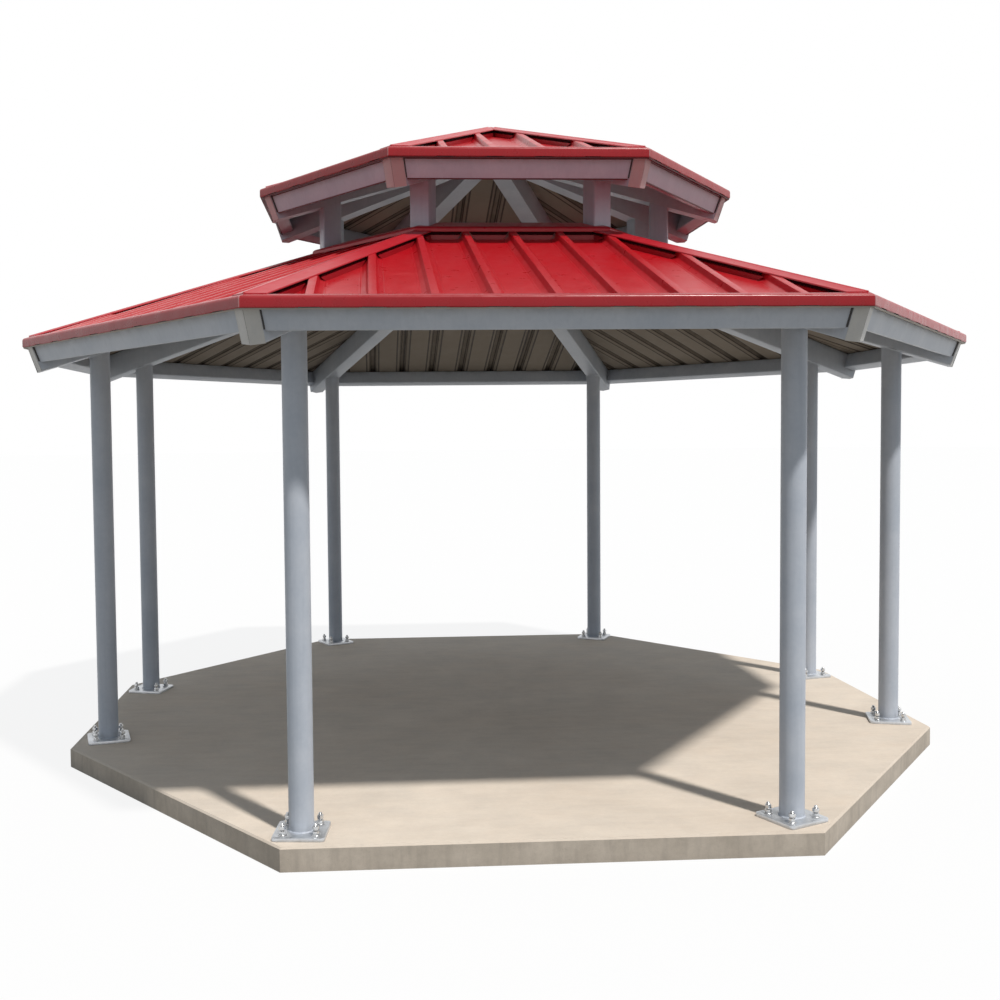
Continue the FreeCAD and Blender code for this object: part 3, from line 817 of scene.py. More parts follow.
@dataclass(frozen=True)
class BackingFinish(Finish):
    """Matt beige backing coat of the sheets' undersides."""

    shade: Colour = (0.24, 0.205, 0.170)
    dark: Colour = (0.07, 0.058, 0.048)

    def dress(self, sheet: NodeSheet, shader: Node, place: Socket) -> None:
        """Adds a cloudy tone, painted shade in the corners and a faint grain."""
        wear = WEAR.place(sheet, Vector=place, Scale=1.4, Contrast=1.0)
        beige = sheet.blend(sheet.scaled(wear.outputs[0], 0.6), self.colour, self.shade)
        # Painted shade: the beige darkens in the corners and under laps.
        beige = self.with_painted_corner_shade(sheet, place, beige, self.dark, 0.10, 0.6)
        sheet.feed(shader.inputs["Base Color"], beige)
        self.gloss(sheet, shader, wear.outputs[1], 0.05, 0.08)
        self.bump(sheet, shader, sheet.noise(place, 300.0, 2.0), 0.0004)


@dataclass(frozen=True)
class TrimFinish(Finish):
    """Folded trim in the same red coating, a little deeper."""

    faded: Colour = (0.40, 0.020, 0.030)

    def dress(self, sheet: NodeSheet, shader: Node, place: Socket) -> None:
        """Adds fading, rain marks and a slight ripple."""
        wear = WEAR.place(sheet, Vector=place, Scale=1.6, Contrast=1.0)
        red = sheet.blend(sheet.scaled(wear.outputs[0], 0.4), self.colour, self.faded)
        streaks = STREAKS.place(sheet, Vector=place, Width=24.0, Length=4.0)
        shade = tuple(part * 0.6 for part in self.colour)
        red = sheet.blend(sheet.scaled(streaks.outputs[0], 0.12), red, shade)
        sheet.feed(shader.inputs["Base Color"], red)
        self.gloss(sheet, shader, wear.outputs[1], 0.05, 0.08)
        self.bump(sheet, shader, sheet.noise(place, 5.0, 1.0), 0.004)


@dataclass(frozen=True)
class FramePaintFinish(Finish):
    """Blue-grey powder coat with a faint cloudy mottle."""

    light: Colour = (0.56, 0.60, 0.67)
    dark: Colour = (0.34, 0.38, 0.44)
    # Colour of the painted shade in the corners.
    shade_colour: Colour = (0.10, 0.09, 0.08)

    def dress(self, sheet: NodeSheet, shader: Node, place: Socket) -> None:
        """Adds the mottle, faint streaks, painted shade in the corners and orange peel."""
        wear = WEAR.place(sheet, Vector=place, Scale=4.5, Contrast=1.2)
        paint_colour = sheet.blend(wear.outputs[0], self.colour, self.light)
        streaks = STREAKS.place(sheet, Vector=place, Width=45.0, Length=2.5)
        paint_colour = sheet.blend(sheet.scaled(streaks.outputs[0], 0.14), paint_colour, self.dark)
        # Painted shade: the paint darkens in the corners.
        paint_colour = self.with_painted_corner_shade(sheet, place, paint_colour, self.shade_colour, 0.05, 0.5)
        sheet.feed(shader.inputs["Base Color"], paint_colour)
        self.gloss(sheet, shader, wear.outputs[1], 0.06, 0.08)
        self.bump(sheet, shader, sheet.noise(place, 260.0, 2.0), 0.0004)


@dataclass(frozen=True)
class ConcreteFinish(Finish):
    """Pale broomed concrete with formed, blotchy sides that are darker than the top, partly as painted shade.
    """

    warm: Colour = (0.70, 0.59, 0.48)
    cool: Colour = (0.55, 0.50, 0.44)
    pale: Colour = (0.86, 0.77, 0.66)
    edge: Colour = (0.46, 0.405, 0.34)
    edge_pale: Colour = (0.62, 0.55, 0.47)
    stain_and_shade: Colour = (0.25, 0.222, 0.195)

    def dress(self, sheet: NodeSheet, shader: Node, place: Socket) -> None:
        """Adds blotches, trowel marks, pits, formed sides darker than the top (partly painted shade) with
        water marks, and painted shade in the corners.
        """
        normal = sheet.add("SeparateXYZ", {0: sheet.add("TexCoord").outputs["Normal"]})
        # Facing mask: the sides take a darker colour than the top, partly painted shade.
        top = sheet.remap(normal.outputs[2], 0.2, 0.9)
        broad = WEAR.place(sheet, Vector=place, Scale=0.9, Contrast=1.3)
        patch = WEAR.place(sheet, Vector=place, Scale=3.7, Contrast=1.4)
        face = sheet.blend(broad.outputs[0], self.colour, self.warm)
        face = sheet.blend(sheet.scaled(patch.outputs[0], 0.40), face, self.cool)
        trowel = sheet.add("VectorMath", {0: place, 1: (3.0, 14.0, 14.0)}, operation="MULTIPLY")
        sweep = sheet.noise(trowel.outputs[0], 1.0, 5.0, 0.65)
        face = sheet.blend(sheet.remap(sweep, 0.35, 0.7, 0.0, 0.30), face, self.pale)
        speck = sheet.noise(place, 160.0, 3.0, 0.7)
        face = sheet.blend(sheet.remap(speck, 0.6, 0.8, 0.0, 0.30), face, self.stain_and_shade)
        side = sheet.blend(patch.outputs[0], self.edge, self.edge_pale)
        streaks = STREAKS.place(sheet, Vector=place, Width=22.0, Length=4.0)
        side = sheet.blend(sheet.scaled(streaks.outputs[0], 0.30), side, self.stain_and_shade)
        side = sheet.blend(sheet.remap(speck, 0.55, 0.8, 0.0, 0.5), side, self.stain_and_shade)
        # Painted shade in the corners, in the stain colour.
        both = self.with_painted_corner_shade(sheet, place, sheet.blend(top, side, face), self.stain_and_shade, 0.06, 0.40)
        sheet.feed(shader.inputs["Base Color"], both)
        self.gloss(sheet, shader, patch.outputs[1], 0.1, 0.08)
        pits = sheet.remap(sheet.noise(place, 70.0, 4.0, 0.7), 0.62, 0.72, 1.0, 0.0)
        grain = sheet.noise(place, 210.0, 4.0, 0.7)
        rough_face = sheet.maths("ADD", sheet.scaled(sweep, 0.6), sheet.scaled(grain, 0.5))
        height = sheet.maths("ADD", rough_face, sheet.scaled(pits, 0.7))
        self.bump(sheet, shader, height, 0.0016)


@dataclass(frozen=True)
class GalvanisedFinish(Finish):
    """Hot-dip galvanised steel with spangle and dull patches."""

    bright: Colour = (0.86, 0.88, 0.90)
    dull: Colour = (0.42, 0.43, 0.44)
    # Colour of the painted shade round the fastenings and in corners.
    shade_colour: Colour = (0.16, 0.14, 0.12)

    def dress(self, sheet: NodeSheet, shader: Node, place: Socket) -> None:
        """Adds crystals, dull patches and painted shade round the fastenings and in corners."""
        zinc = SPANGLE.place(sheet, Vector=place, Scale=85.0)
        wear = WEAR.place(sheet, Vector=place, Scale=9.0, Contrast=1.4)
        metal = sheet.blend(sheet.scaled(zinc.outputs[0], 0.35), self.colour, self.bright)
        metal = sheet.blend(sheet.scaled(wear.outputs[0], 0.6), metal, self.dull)
        # Painted shade: the zinc darkens round the fastenings and in corners.
        metal = self.with_painted_corner_shade(sheet, place, metal, self.shade_colour, 0.02, 0.5)
        sheet.feed(shader.inputs["Base Color"], metal)
        rough = sheet.maths("ADD", sheet.scaled(zinc.outputs[0], 0.12), self.roughness)
        sheet.feed(shader.inputs["Roughness"], rough)
        self.bump(sheet, shader, zinc.outputs[1], 0.0006)


ROOF_RED = RoofSheetFinish("roof_sheet_red", (0.44, 0.003, 0.008), roughness=0.30, specular=0.25)
BACKING = BackingFinish("beige_backing", (0.31, 0.265, 0.220), roughness=0.7, specular=0.15)
# Dark beige painted on the underside's bends as shade.
BACKING_BEND_SHADE = BackingFinish(
    "beige_backing_bend_shade", (0.10, 0.085, 0.072), roughness=0.7, specular=0.2, shade=(0.07, 0.06, 0.05)
)
TRIM_RED = TrimFinish("trim_red", (0.34, 0.008, 0.014), roughness=0.28, specular=0.35)
# Pale pink trim red for the corner strips: painted highlight.
TRIM_CORNER_HIGHLIGHT = TrimFinish("trim_corner_painted_highlight", (0.42, 0.16, 0.17), roughness=0.3, faded=(0.46, 0.22, 0.22))
# Trim red darkened to stand in for shade, for the upper closure and the upper beam lines.
TRIM_RED_SHADE = TrimFinish(
    "trim_red_painted_shade", (0.085, 0.006, 0.010), roughness=0.45, specular=0.3, faded=(0.12, 0.010, 0.014)
)
CAP_RED = TrimFinish(
    "cap_red", (0.46, 0.010, 0.020), roughness=0.32, specular=0.35, faded=(0.52, 0.04, 0.055)
)
CLOSURE_RED = TrimFinish("closure_red", (0.30, 0.006, 0.012), roughness=0.35, specular=0.35)
# Near-black red for the closures' back leaves: painted shade of the recess under the caps.
CLOSURE_RED_SHADE = TrimFinish(
    "closure_red_painted_shade", (0.035, 0.003, 0.005), roughness=0.7, specular=0.1, faded=(0.05, 0.005, 0.007)
)
FRAME_GREY = FramePaintFinish("frame_blue_grey", (0.46, 0.51, 0.59), roughness=0.42, specular=0.35)
LANTERN_GREY = FramePaintFinish("lantern_blue_grey", (0.46, 0.52, 0.62), roughness=0.34)
TIP_GREY = FramePaintFinish("tip_grey", (0.50, 0.50, 0.49), roughness=0.42, light=(0.60, 0.59, 0.57))
# Rosy grey for the upper tips: painted reflection of the red roof.
UPPER_TIP_RED_REFLECTION = FramePaintFinish("upper_tip_painted_red_reflection", (0.46, 0.30, 0.30), roughness=0.42, light=(0.52, 0.37, 0.36))
CONCRETE = ConcreteFinish("pale_concrete", (0.80, 0.70, 0.59), roughness=0.85)
ZINC = GalvanisedFinish("galvanised_steel", (0.66, 0.69, 0.73), roughness=0.30, metallic=0.75)
BOLT_ZINC = GalvanisedFinish("galvanised_bolts", (0.70, 0.71, 0.72), roughness=0.22, metallic=0.9)
BEIGE_STRIP = FramePaintFinish(
    "beige_closure", (0.38, 0.34, 0.30), roughness=0.6, light=(0.46, 0.41, 0.36), dark=(0.24, 0.21, 0.18)
)
# Near-black strips put in gaps and seams as painted shade.
DARK_GAP_SHADE = FramePaintFinish(
    "dark_gap_painted_shade", (0.030, 0.028, 0.030), roughness=0.7, light=(0.05, 0.045, 0.045), dark=(0.02, 0.02, 0.02)
)


def paint(item: bpy.types.Object, finish: Finish) -> None:
    """Gives every slot of an object one finish."""
    item.data.materials.clear()
    item.data.materials.append(finish.material())


@dataclass
class FrameDressing:
    """Finishes of the CAD nodes."""

    nodes: dict[str, bpy.types.Object]

    def dress(self) -> None:
        """Paints each node by what it is."""
        for name, item in self.nodes.items():
            finish = self.finish_for(name)
            paint(item, finish)
            item.data.shade_smooth()
            item.data.set_sharp_from_angle(angle=math.radians(25))
            LOG.info("%s: %s", name, finish.name)

    @staticmethod
    def finish_for(name: str) -> Finish:
        """Picks a node's finish from its name."""
        if name == "slab":
            return CONCRETE
        if name == "base_plates":
            return ZINC
        if "roof_panel" in name:
            return ROOF_RED
        if "trim" in name or "cap" in name:
            return TRIM_RED
        return FRAME_GREY


@dataclass
class RoofSheets:
    """Ribbed sheets with rounded bends, red above and beige below."""

    plan: Plan
    knee_place: float = 0.032
    knee_height: float = 0.017
    bend: float = 0.005
    bend_steps: int = 2
    foot_fold: float = 0.0025
    fold_half: float = 0.006
    fold_bend: float = 0.002
    wall_tuck: float = 0.6

    def build(self) -> None:
        """Makes one piece for each lower side and one for the upper tier."""
        plan = self.plan
        for side in plan.sides:
            builder = MeshBuilder()
            self.sheet(builder, side, plan.lower, plan.clearance)
            name = side.name.value
            self.finish(builder, "ribbed_sheet_" + name, ["roof_panel_" + name])
        builder = MeshBuilder()
        for side in plan.sides:
            self.sheet(builder, side, plan.upper, plan.hub_radius / 2)
        self.finish(builder, "upper_ribbed_sheets", ["upper_roof_panels"])

    @staticmethod
    def finish(builder: MeshBuilder, name: str, nodes: list[str]) -> None:
        """Makes a piece with the red coat, the backing coat and the backing's bends painted darker as shade.
        """
        builder.piece(name, Slot.SHEET, [ROOF_RED, BACKING, BACKING_BEND_SHADE], nodes)

    def section(self, side: Side, tier: Tier, start: float, drop: float) -> Outline:
        """Outline of the sheet's top or underside across the slope.

        Args:
            side: The side of the octagon.
            tier: The roof tier.
            start: Apothem of the sheet's lower end.
            drop: Depth of the surface under the sheet's top, measured upright.

        Returns:
            Places along the side with their height above the pans.
        """
        plan = self.plan
        half, crest, rise = plan.rib_base / 2, plan.rib_crest / 2, plan.rib_rise
        tuck = drop * self.wall_tuck
        left, right = side.edge(End.LEFT, start), side.edge(End.RIGHT, start)
        corners: SoftOutline = [(left, -drop, 0.0)]
        for middle in plan.ribs(side, tier):
            for sign in (-1, 1):
                flank = [
                    (middle + sign * (half + 2 * self.fold_half - tuck), -drop, self.fold_bend),
                    (middle + sign * (half + self.fold_half - tuck), self.foot_fold - drop, self.fold_bend),
                    (middle + sign * (half - tuck), -drop, self.fold_bend),
                    (middle + sign * (self.knee_place - tuck), self.knee_height - drop, self.bend),
                    (middle + sign * (crest - tuck / 2), rise - drop, self.bend),
                ]
                corners += flank if sign < 0 else flank[::-1]
        corners.append((right, -drop, 0.0))
        return softened(corners, self.bend_steps, closed=False)

    def sheet(self, builder: MeshBuilder, side: Side, tier: Tier, inner: float) -> None:
        """Adds one side's sheet, cut to the hips and the ring.

        Args:
            builder: Where it goes.
            side: The side of the octagon.
            tier: The roof tier.
            inner: Apothem of the sheet's upper end.
        """
        start = tier.eave - self.plan.trim_sheet / side.reach
        gap = self.plan.sheet_gap / 2
        edges = []
        for drop in (0.0, self.plan.sheet):
            outline = self.section(side, tier, start, drop)
            for end in End:
                outline = self.split(outline, side.edge(end, inner, gap))
            low, high = [], []
            for along, above in outline:
                end = End.LEFT if along < 0 else End.RIGHT
                stop = min(start, max(inner, side.apothem_at(end, along, gap)))
                low.append(side.point(along, start, tier.level(start, above)))
                high.append(side.point(along, stop, tier.level(stop, above)))
            self.surface(builder, outline, low, high, drop > 0)
            edges.append((low, high))
        builder.finish_index = 0
        for top, under in zip(edges[0], edges[1]):
            builder.loft([top, under], ring=False, caps=False)

    def surface(
        self, builder: MeshBuilder, outline: Outline, low: list[Vector], high: list[Vector], under: bool
    ) -> None:
        """Adds the sheet's top or underside, with the underside's bends painted darker as shade.

        Args:
            builder: Where it goes.
            outline: The section, place along the side and height above the pans.
            low: Its points at the eave.
            high: Its points at the hips and the ring.
            under: Whether this is the underside.
        """
        low_row = [builder.bm.verts.new(point) for point in low]
        high_row = [builder.bm.verts.new(point) for point in high]
        longest_bend = 2.2 * self.bend
        for i in range(len(outline) - 1):
            width = math.dist(outline[i], outline[i + 1])
            # The underside's narrow bend faces take the dark beige: painted shade.
            builder.finish_index = 0 if not under else (2 if width < longest_bend else 1)
            builder.skin([low_row[i], low_row[i + 1], high_row[i + 1], high_row[i]])

    @staticmethod
    def split(outline: Outline, along: float) -> Outline:
        """Adds a point to an outline where it passes a place along the side."""
        for i in range(len(outline) - 1):
            (first, low), (second, high) = outline[i], outline[i + 1]
            if first < along < second:
                share = (along - first) / (second - first)
                return outline[: i + 1] + [(along, low + (high - low) * share)] + outline[i + 1 :]
        return outline


@dataclass
class EaveTrims:
    """Folded trims with a rolled top edge, corner strips painted lighter as a highlight, and the closure
    under them.
    """

    plan: Plan
    roll: float = 0.014
    hem: float = 0.002
    corner_strip: float = 0.0035
    mitre_gap: float = 0.0002
    lip_gap: float = 0.0005
    folded_hem: float = 0.010
    edge: float = 0.001
    lip_set_back: float = 0.006
    lip_drop: float = 0.014
    lip_sheet: float = 0.002

    def build(self) -> None:
        """Makes the trims of both tiers."""
        for tier, node in ((self.plan.lower, "eave_trim"), (self.plan.upper, "upper_eave_trim")):
            self.trim(tier, node)
            self.closure(tier)

    def profile(self, side: Side, tier: Tier) -> Outline:
        """Section of the trim as apothem and height."""
        plan = self.plan
        gauge = plan.trim_sheet
        top = plan.rib_rise + gauge
        bottom = top - plan.trim_face
        back = plan.trim_return
        corners: SoftOutline = [
            (0.0, bottom, self.hem),
            (0.0, top, self.roll),
            (back, top, self.edge),
            (back, top - gauge, self.edge),
            (gauge, top - gauge, self.roll - gauge),
            (gauge, bottom + self.folded_hem, 0.0),
            (gauge * 2, bottom + self.folded_hem, self.edge),
            (gauge * 2, bottom, self.hem),
        ]
        return self.placed(side, tier, softened(corners, 4))

    @staticmethod
    def placed(side: Side, tier: Tier, outline: Outline) -> Outline:
        """Turns inward distance and height above the pans into apothem and height."""
        points = []
        for inward, above in outline:
            apothem = tier.eave - inward / side.reach
            points.append((apothem, tier.level(apothem, above)))
        return points

    def trim(self, tier: Tier, node: str) -> None:
        """Makes the trim's lengths and its corner strips, painted lighter as a highlight, as one piece.

        Args:
            tier: The roof tier.
            node: The CAD node that it replaces.
        """
        builder = MeshBuilder()
        for side in self.plan.sides:
            profile = self.profile(side, tier)
            builder.finish_index = 0
            side.run(builder, profile, self.corner_strip)
            # Corner strips: trim red painted lighter as a highlight.
            builder.finish_index = 1
            for end in End:
                side.stub(builder, end, profile, [self.mitre_gap, self.corner_strip])
        builder.piece(tier.name + "_eave_trim_lengths", Slot.TRIM, [TRIM_RED, TRIM_CORNER_HIGHLIGHT], [node])

    def closure(self, tier: Tier) -> None:
        """Makes the strip that closes the gap between trim and beam, just under the trim.

        Args:
            tier: The roof tier.
        """
        builder = MeshBuilder()
        bottom = -self.lip_drop
        start, gauge = self.lip_set_back, self.lip_sheet
        corners: SoftOutline = [
            (start, bottom, self.edge),
            (start, -self.plan.sheet, 0.0),
            (start + gauge, -self.plan.sheet, 0.0),
            (start + gauge, bottom + gauge, 0.0),
            (self.plan.beam_set_back, bottom + gauge, 0.0),
            (self.plan.beam_set_back, bottom, 0.0),
        ]
        for side in self.plan.sides:
            side.run(builder, self.placed(side, tier, softened(corners)), self.lip_gap)
        # The upper closure takes trim red painted dark as shade.
        finish = BEIGE_STRIP if tier is self.plan.lower else TRIM_RED_SHADE
        builder.piece(tier.name + "_eave_closure", Slot.TRIM, [finish])


@dataclass
class HipCaps:
    """Folded caps over the hips, with a rolled ridge and hemmed edges."""

    plan: Plan
    ridge_half: float = 0.011
    ridge_rise: float = 0.0045
    hem: float = 0.003
    crease: float = 40.0

    def build(self) -> None:
        """Makes the caps of both tiers and the pointed cap at the apex."""
        plan = self.plan
        builder = MeshBuilder()
        for index in range(len(plan.corners)):
            self.cap(builder, index, plan.lower, plan.clearance + plan.ring_run)
        builder.piece("lower_hip_cap_folds", Slot.TRIM, [CAP_RED], ["hip_caps"], self.crease)
        builder = MeshBuilder()
        for index in range(len(plan.corners)):
            self.cap(builder, index, plan.upper, plan.hub_radius)
        self.apex(builder)
        builder.piece("upper_hip_cap_folds", Slot.TRIM, [CAP_RED], ["upper_hip_caps"], self.crease)

    def cap(self, builder: MeshBuilder, index: int, tier: Tier, inner: float) -> None:
        """Adds one cap from the eave trim to an apothem.

        Args:
            builder: Where it goes.
            index: Number of its corner.
            tier: The roof tier.
            inner: Apothem of its upper end.
        """
        plan = self.plan
        before, after = plan.sides[index - 1], plan.sides[index]
        outer = tier.eave - plan.trim_return / plan.least_reach
        meetings = [self.meeting(before, End.RIGHT), self.meeting(after, End.LEFT)]
        stations = [outer] + [m for m in sorted(meetings, reverse=True) if inner < m < outer] + [inner]
        rows = []
        for apothem in stations:
            left = self.wing(before, End.RIGHT, tier, apothem, meetings[0])
            right = self.wing(after, End.LEFT, tier, apothem, meetings[1])
            hip = after.left.plan * apothem + UP * tier.level(apothem, plan.rib_rise)
            rows.append(left[::-1] + right[1:] + [hip])
        builder.loft(rows, caps=False)
        ridge = len(rows[0]) // 2 - 1
        for row in (rows[0], rows[-1]):
            builder.face(row[: ridge + 1] + row[-1:])
            builder.face(row[ridge:])

    def meeting(self, side: Side, end: End) -> float:
        """Apothem at which a cap's wing meets its neighbour's on the same side."""
        width = self.plan.cap_wing * abs(side.spread(end)) + self.plan.joint_gap / 2
        return width / abs(self.middle_slope(side) - side.foot(end))

    @staticmethod
    def middle_slope(side: Side) -> float:
        """Place along the side, for each unit of apothem, of the line midway between its hips."""
        left = math.atan2(-side.foot(End.LEFT), side.reach)
        right = math.atan2(side.foot(End.RIGHT), side.reach)
        return math.tan((right - left) / 2) * side.reach

    def wing(self, side: Side, end: End, tier: Tier, apothem: float, meeting: float) -> list[Vector]:
        """Points of one wing's top and edge at an apothem, from the hip outwards.

        Args:
            side: The side that the wing lies on.
            end: Which hip of the side.
            tier: The roof tier.
            apothem: Where the section is.
            meeting: Apothem below which the wing keeps its full width.

        Returns:
            The points, the last one at the underside.
        """
        plan = self.plan
        width = plan.cap_wing
        if apothem < meeting:
            limit = abs(self.middle_slope(side) - side.foot(end)) * apothem
            width = (limit - plan.joint_gap / 2) / abs(side.spread(end))
        base, crown = plan.rib_rise, plan.rib_rise + plan.cap_sheet
        half = min(self.ridge_half, width / 2)
        outline = [
            (0.0, crown + self.ridge_rise),
            (half * 0.35, crown + self.ridge_rise * 0.85),
            (half * 0.7, crown + self.ridge_rise * 0.35),
            (half, crown),
            (width - self.hem, crown),
            (width - self.hem * 0.3, crown - self.hem * 0.3),
            (width, crown - self.hem),
            (width, base),
        ]
        row = []
        for inset, above in outline:
            along = side.edge(end, apothem, inset)
            row.append(side.point(along, apothem, tier.level(apothem, above)))
        return row

    def apex(self, builder: MeshBuilder) -> None:
        """Adds the small pointed cap inside the caps' upper ends."""
        plan = self.plan
        apothem = plan.hub_radius - plan.joint_gap
        base, crown = plan.rib_rise, plan.rib_rise + plan.cap_sheet
        rows = []
        for share, above in ((1.0, base), (1.0, crown - 0.002), (0.96, crown)):
            ring = apothem * share
            rows.append([c.plan * ring + UP * plan.upper.level(ring, above) for c in plan.corners])
        builder.loft(rows)
        peak = UP * plan.upper.level(0.0, crown)
        for i, point in enumerate(rows[-1]):
            builder.face([point, rows[-1][(i + 1) % len(rows[-1])], peak])


@dataclass
class RibClosures:
    """Two-step closures between the ribs, under the hip caps and under the ring cap."""

    plan: Plan
    front_height: float = 0.026
    front_set_back: float = 0.004
    step_depth: float = 0.026
    gauge: float = 0.0018
    clear: float = 0.001
    least_width: float = 0.01

    def build(self) -> None:
        """Makes the closures of both tiers."""
        plan = self.plan
        for tier, inner in ((plan.lower, plan.clearance + plan.ring_run), (plan.upper, plan.hub_radius)):
            builder = MeshBuilder()
            for side in plan.sides:
                for end in End:
                    self.beside_hip(builder, side, end, tier, inner)
            if tier is plan.lower:
                for side in plan.sides:
                    self.under_ring(builder, side)
            builder.piece(tier.name + "_rib_closures", Slot.TRIM, [CLOSURE_RED, CLOSURE_RED_SHADE])

    def gaps(
        self, side: Side, tier: Tier, low: float, high: float, width: float
    ) -> list[tuple[float, float]]:
        """Stretches between ribs along the side.

        Args:
            side: The side of the octagon.
            tier: The roof tier.
            low: Least place along the side.
            high: Greatest place along the side.
            width: Half width of a rib where the closure stands.

        Returns:
            The first and last place of each stretch.
        """
        stretches = []
        last = low
        for middle in self.plan.ribs(side, tier):
            stretches.append((last, min(high, middle - width)))
            last = max(last, middle + width)
        stretches.append((last, high))
        return stretches

    def rib_half(self, above: float) -> float:
        """Half width of a rib at a height above the pans."""
        plan = self.plan
        share = min(1.0, max(0.0, above / plan.rib_rise))
        return plan.rib_base / 2 + (plan.rib_crest - plan.rib_base) / 2 * share

    def strip(
        self,
        builder: MeshBuilder,
        side: Side,
        tier: Tier,
        place: Placing,
        ends: tuple[float, float],
        levels: tuple[float, float],
        depths: tuple[float, float],
    ) -> None:
        """Adds the thin strips of one closure between the ribs.

        Args:
            builder: Where they go.
            side: The side of the octagon.
            tier: The roof tier.
            place: Apothem from a place along the side and a depth behind the cap's edge.
            ends: Least and greatest place along the side.
            levels: Bottom and top above the pans.
            depths: Front and back depth behind the cap's edge.
        """
        under = self.gaps(side, tier, *ends, self.rib_half(levels[0]))
        over = self.gaps(side, tier, *ends, self.rib_half(levels[1]))
        for (u0, u1), (o0, o1) in zip(under, over):
            if u1 - u0 < self.least_width:
                continue
            rows = []
            for depth in depths:
                row = []
                for along, above in ((u0, levels[0]), (u1, levels[0]), (o1, levels[1]), (o0, levels[1])):
                    apothem = place(along, depth)
                    row.append(side.point(along, apothem, tier.level(apothem, above)))
                rows.append(row)
            builder.loft(rows)

    def closure(
        self, builder: MeshBuilder, side: Side, tier: Tier, place: Placing, ends: tuple[float, float]
    ) -> None:
        """Adds one closure: a low front leaf, a step behind its top edge and a back leaf, the back leaf
        painted near-black as the shade of the recess under the cap.

        Args:
            builder: Where it goes.
            side: The side of the octagon.
            tier: The roof tier.
            place: Apothem from a place along the side and a depth behind the cap's edge.
            ends: Least and greatest place along the side.
        """
        rise = self.plan.rib_rise
        front, back = self.front_set_back, self.front_set_back + self.step_depth
        step = self.front_height
        leaves = (
            (0, (0.0, step), (front, front + self.gauge)),
            (0, (step, step + self.gauge), (front, back)),
            # Back leaf in the near-black red: painted shade.
            (1, (step, rise - self.clear), (back, back + self.gauge)),
        )
        for index, levels, depths in leaves:
            builder.finish_index = index
            self.strip(builder, side, tier, place, ends, levels, depths)

    def beside_hip(self, builder: MeshBuilder, side: Side, end: End, tier: Tier, inner: float) -> None:
        """Adds the closures under one wing of a hip cap."""
        plan = self.plan
        start = tier.eave - 2 * plan.trim_sheet
        least = max(inner, HipCaps(plan).meeting(side, end))

        def place(along: float, depth: float) -> float:
            """Apothem at a place along the side, behind the wing's edge."""
            return min(start, side.apothem_at(end, along, plan.cap_wing - depth))

        low, high = sorted(side.edge(end, apothem, plan.cap_wing) for apothem in (start, least))
        self.closure(builder, side, tier, place, (low, high))

    def under_ring(self, builder: MeshBuilder, side: Side) -> None:
        """Adds the closures under the ring cap on one side."""
        plan = self.plan
        outer = plan.clearance + plan.ring_run

        def place(_along: float, depth: float) -> float:
            """Apothem behind the cap's nose."""
            return outer - depth / side.reach

        inset = plan.cap_wing - self.front_set_back
        low, high = (side.edge(end, outer, inset) for end in End)
        self.closure(builder, side, plan.lower, place, (low, high))


@dataclass
class RingCap:
    """Rolled cap round the foot of the lantern, with a leaf between the posts."""

    plan: Plan
    roll: float = 0.020
    hem: float = 0.004
    mitre_gap: float = 0.0005

    def build(self) -> None:
        """Makes the cap as one piece."""
        plan = self.plan
        tier = plan.lower
        inner, outer = plan.clearance, plan.clearance + plan.ring_run
        base, crown = plan.rib_rise, plan.rib_rise + plan.ring_nose
        builder = MeshBuilder()
        nose_corners: SoftOutline = [
            (outer, base, self.hem),
            (outer, crown, self.roll),
            (inner, crown, 0.0),
            (inner, base, 0.0),
        ]
        nose = [(a, tier.level(a, above)) for a, above in softened(nose_corners, 5)]
        leaf_low = crown - plan.cap_sheet
        for side in plan.sides:
            side.run(builder, nose, self.mitre_gap)
            edge = plan.lantern_apothem - plan.ring_width / 2 / side.reach
            corners = [(inner, leaf_low), (inner, crown), (edge, crown), (edge, leaf_low)]
            leaf = [(a, tier.level(a, above)) for a, above in corners]
            side.run(builder, leaf, plan.lantern_post / 2 + plan.joint_gap)
        builder.piece("ring_cap_roll", Slot.TRIM, [CAP_RED], ["ring_cap"])


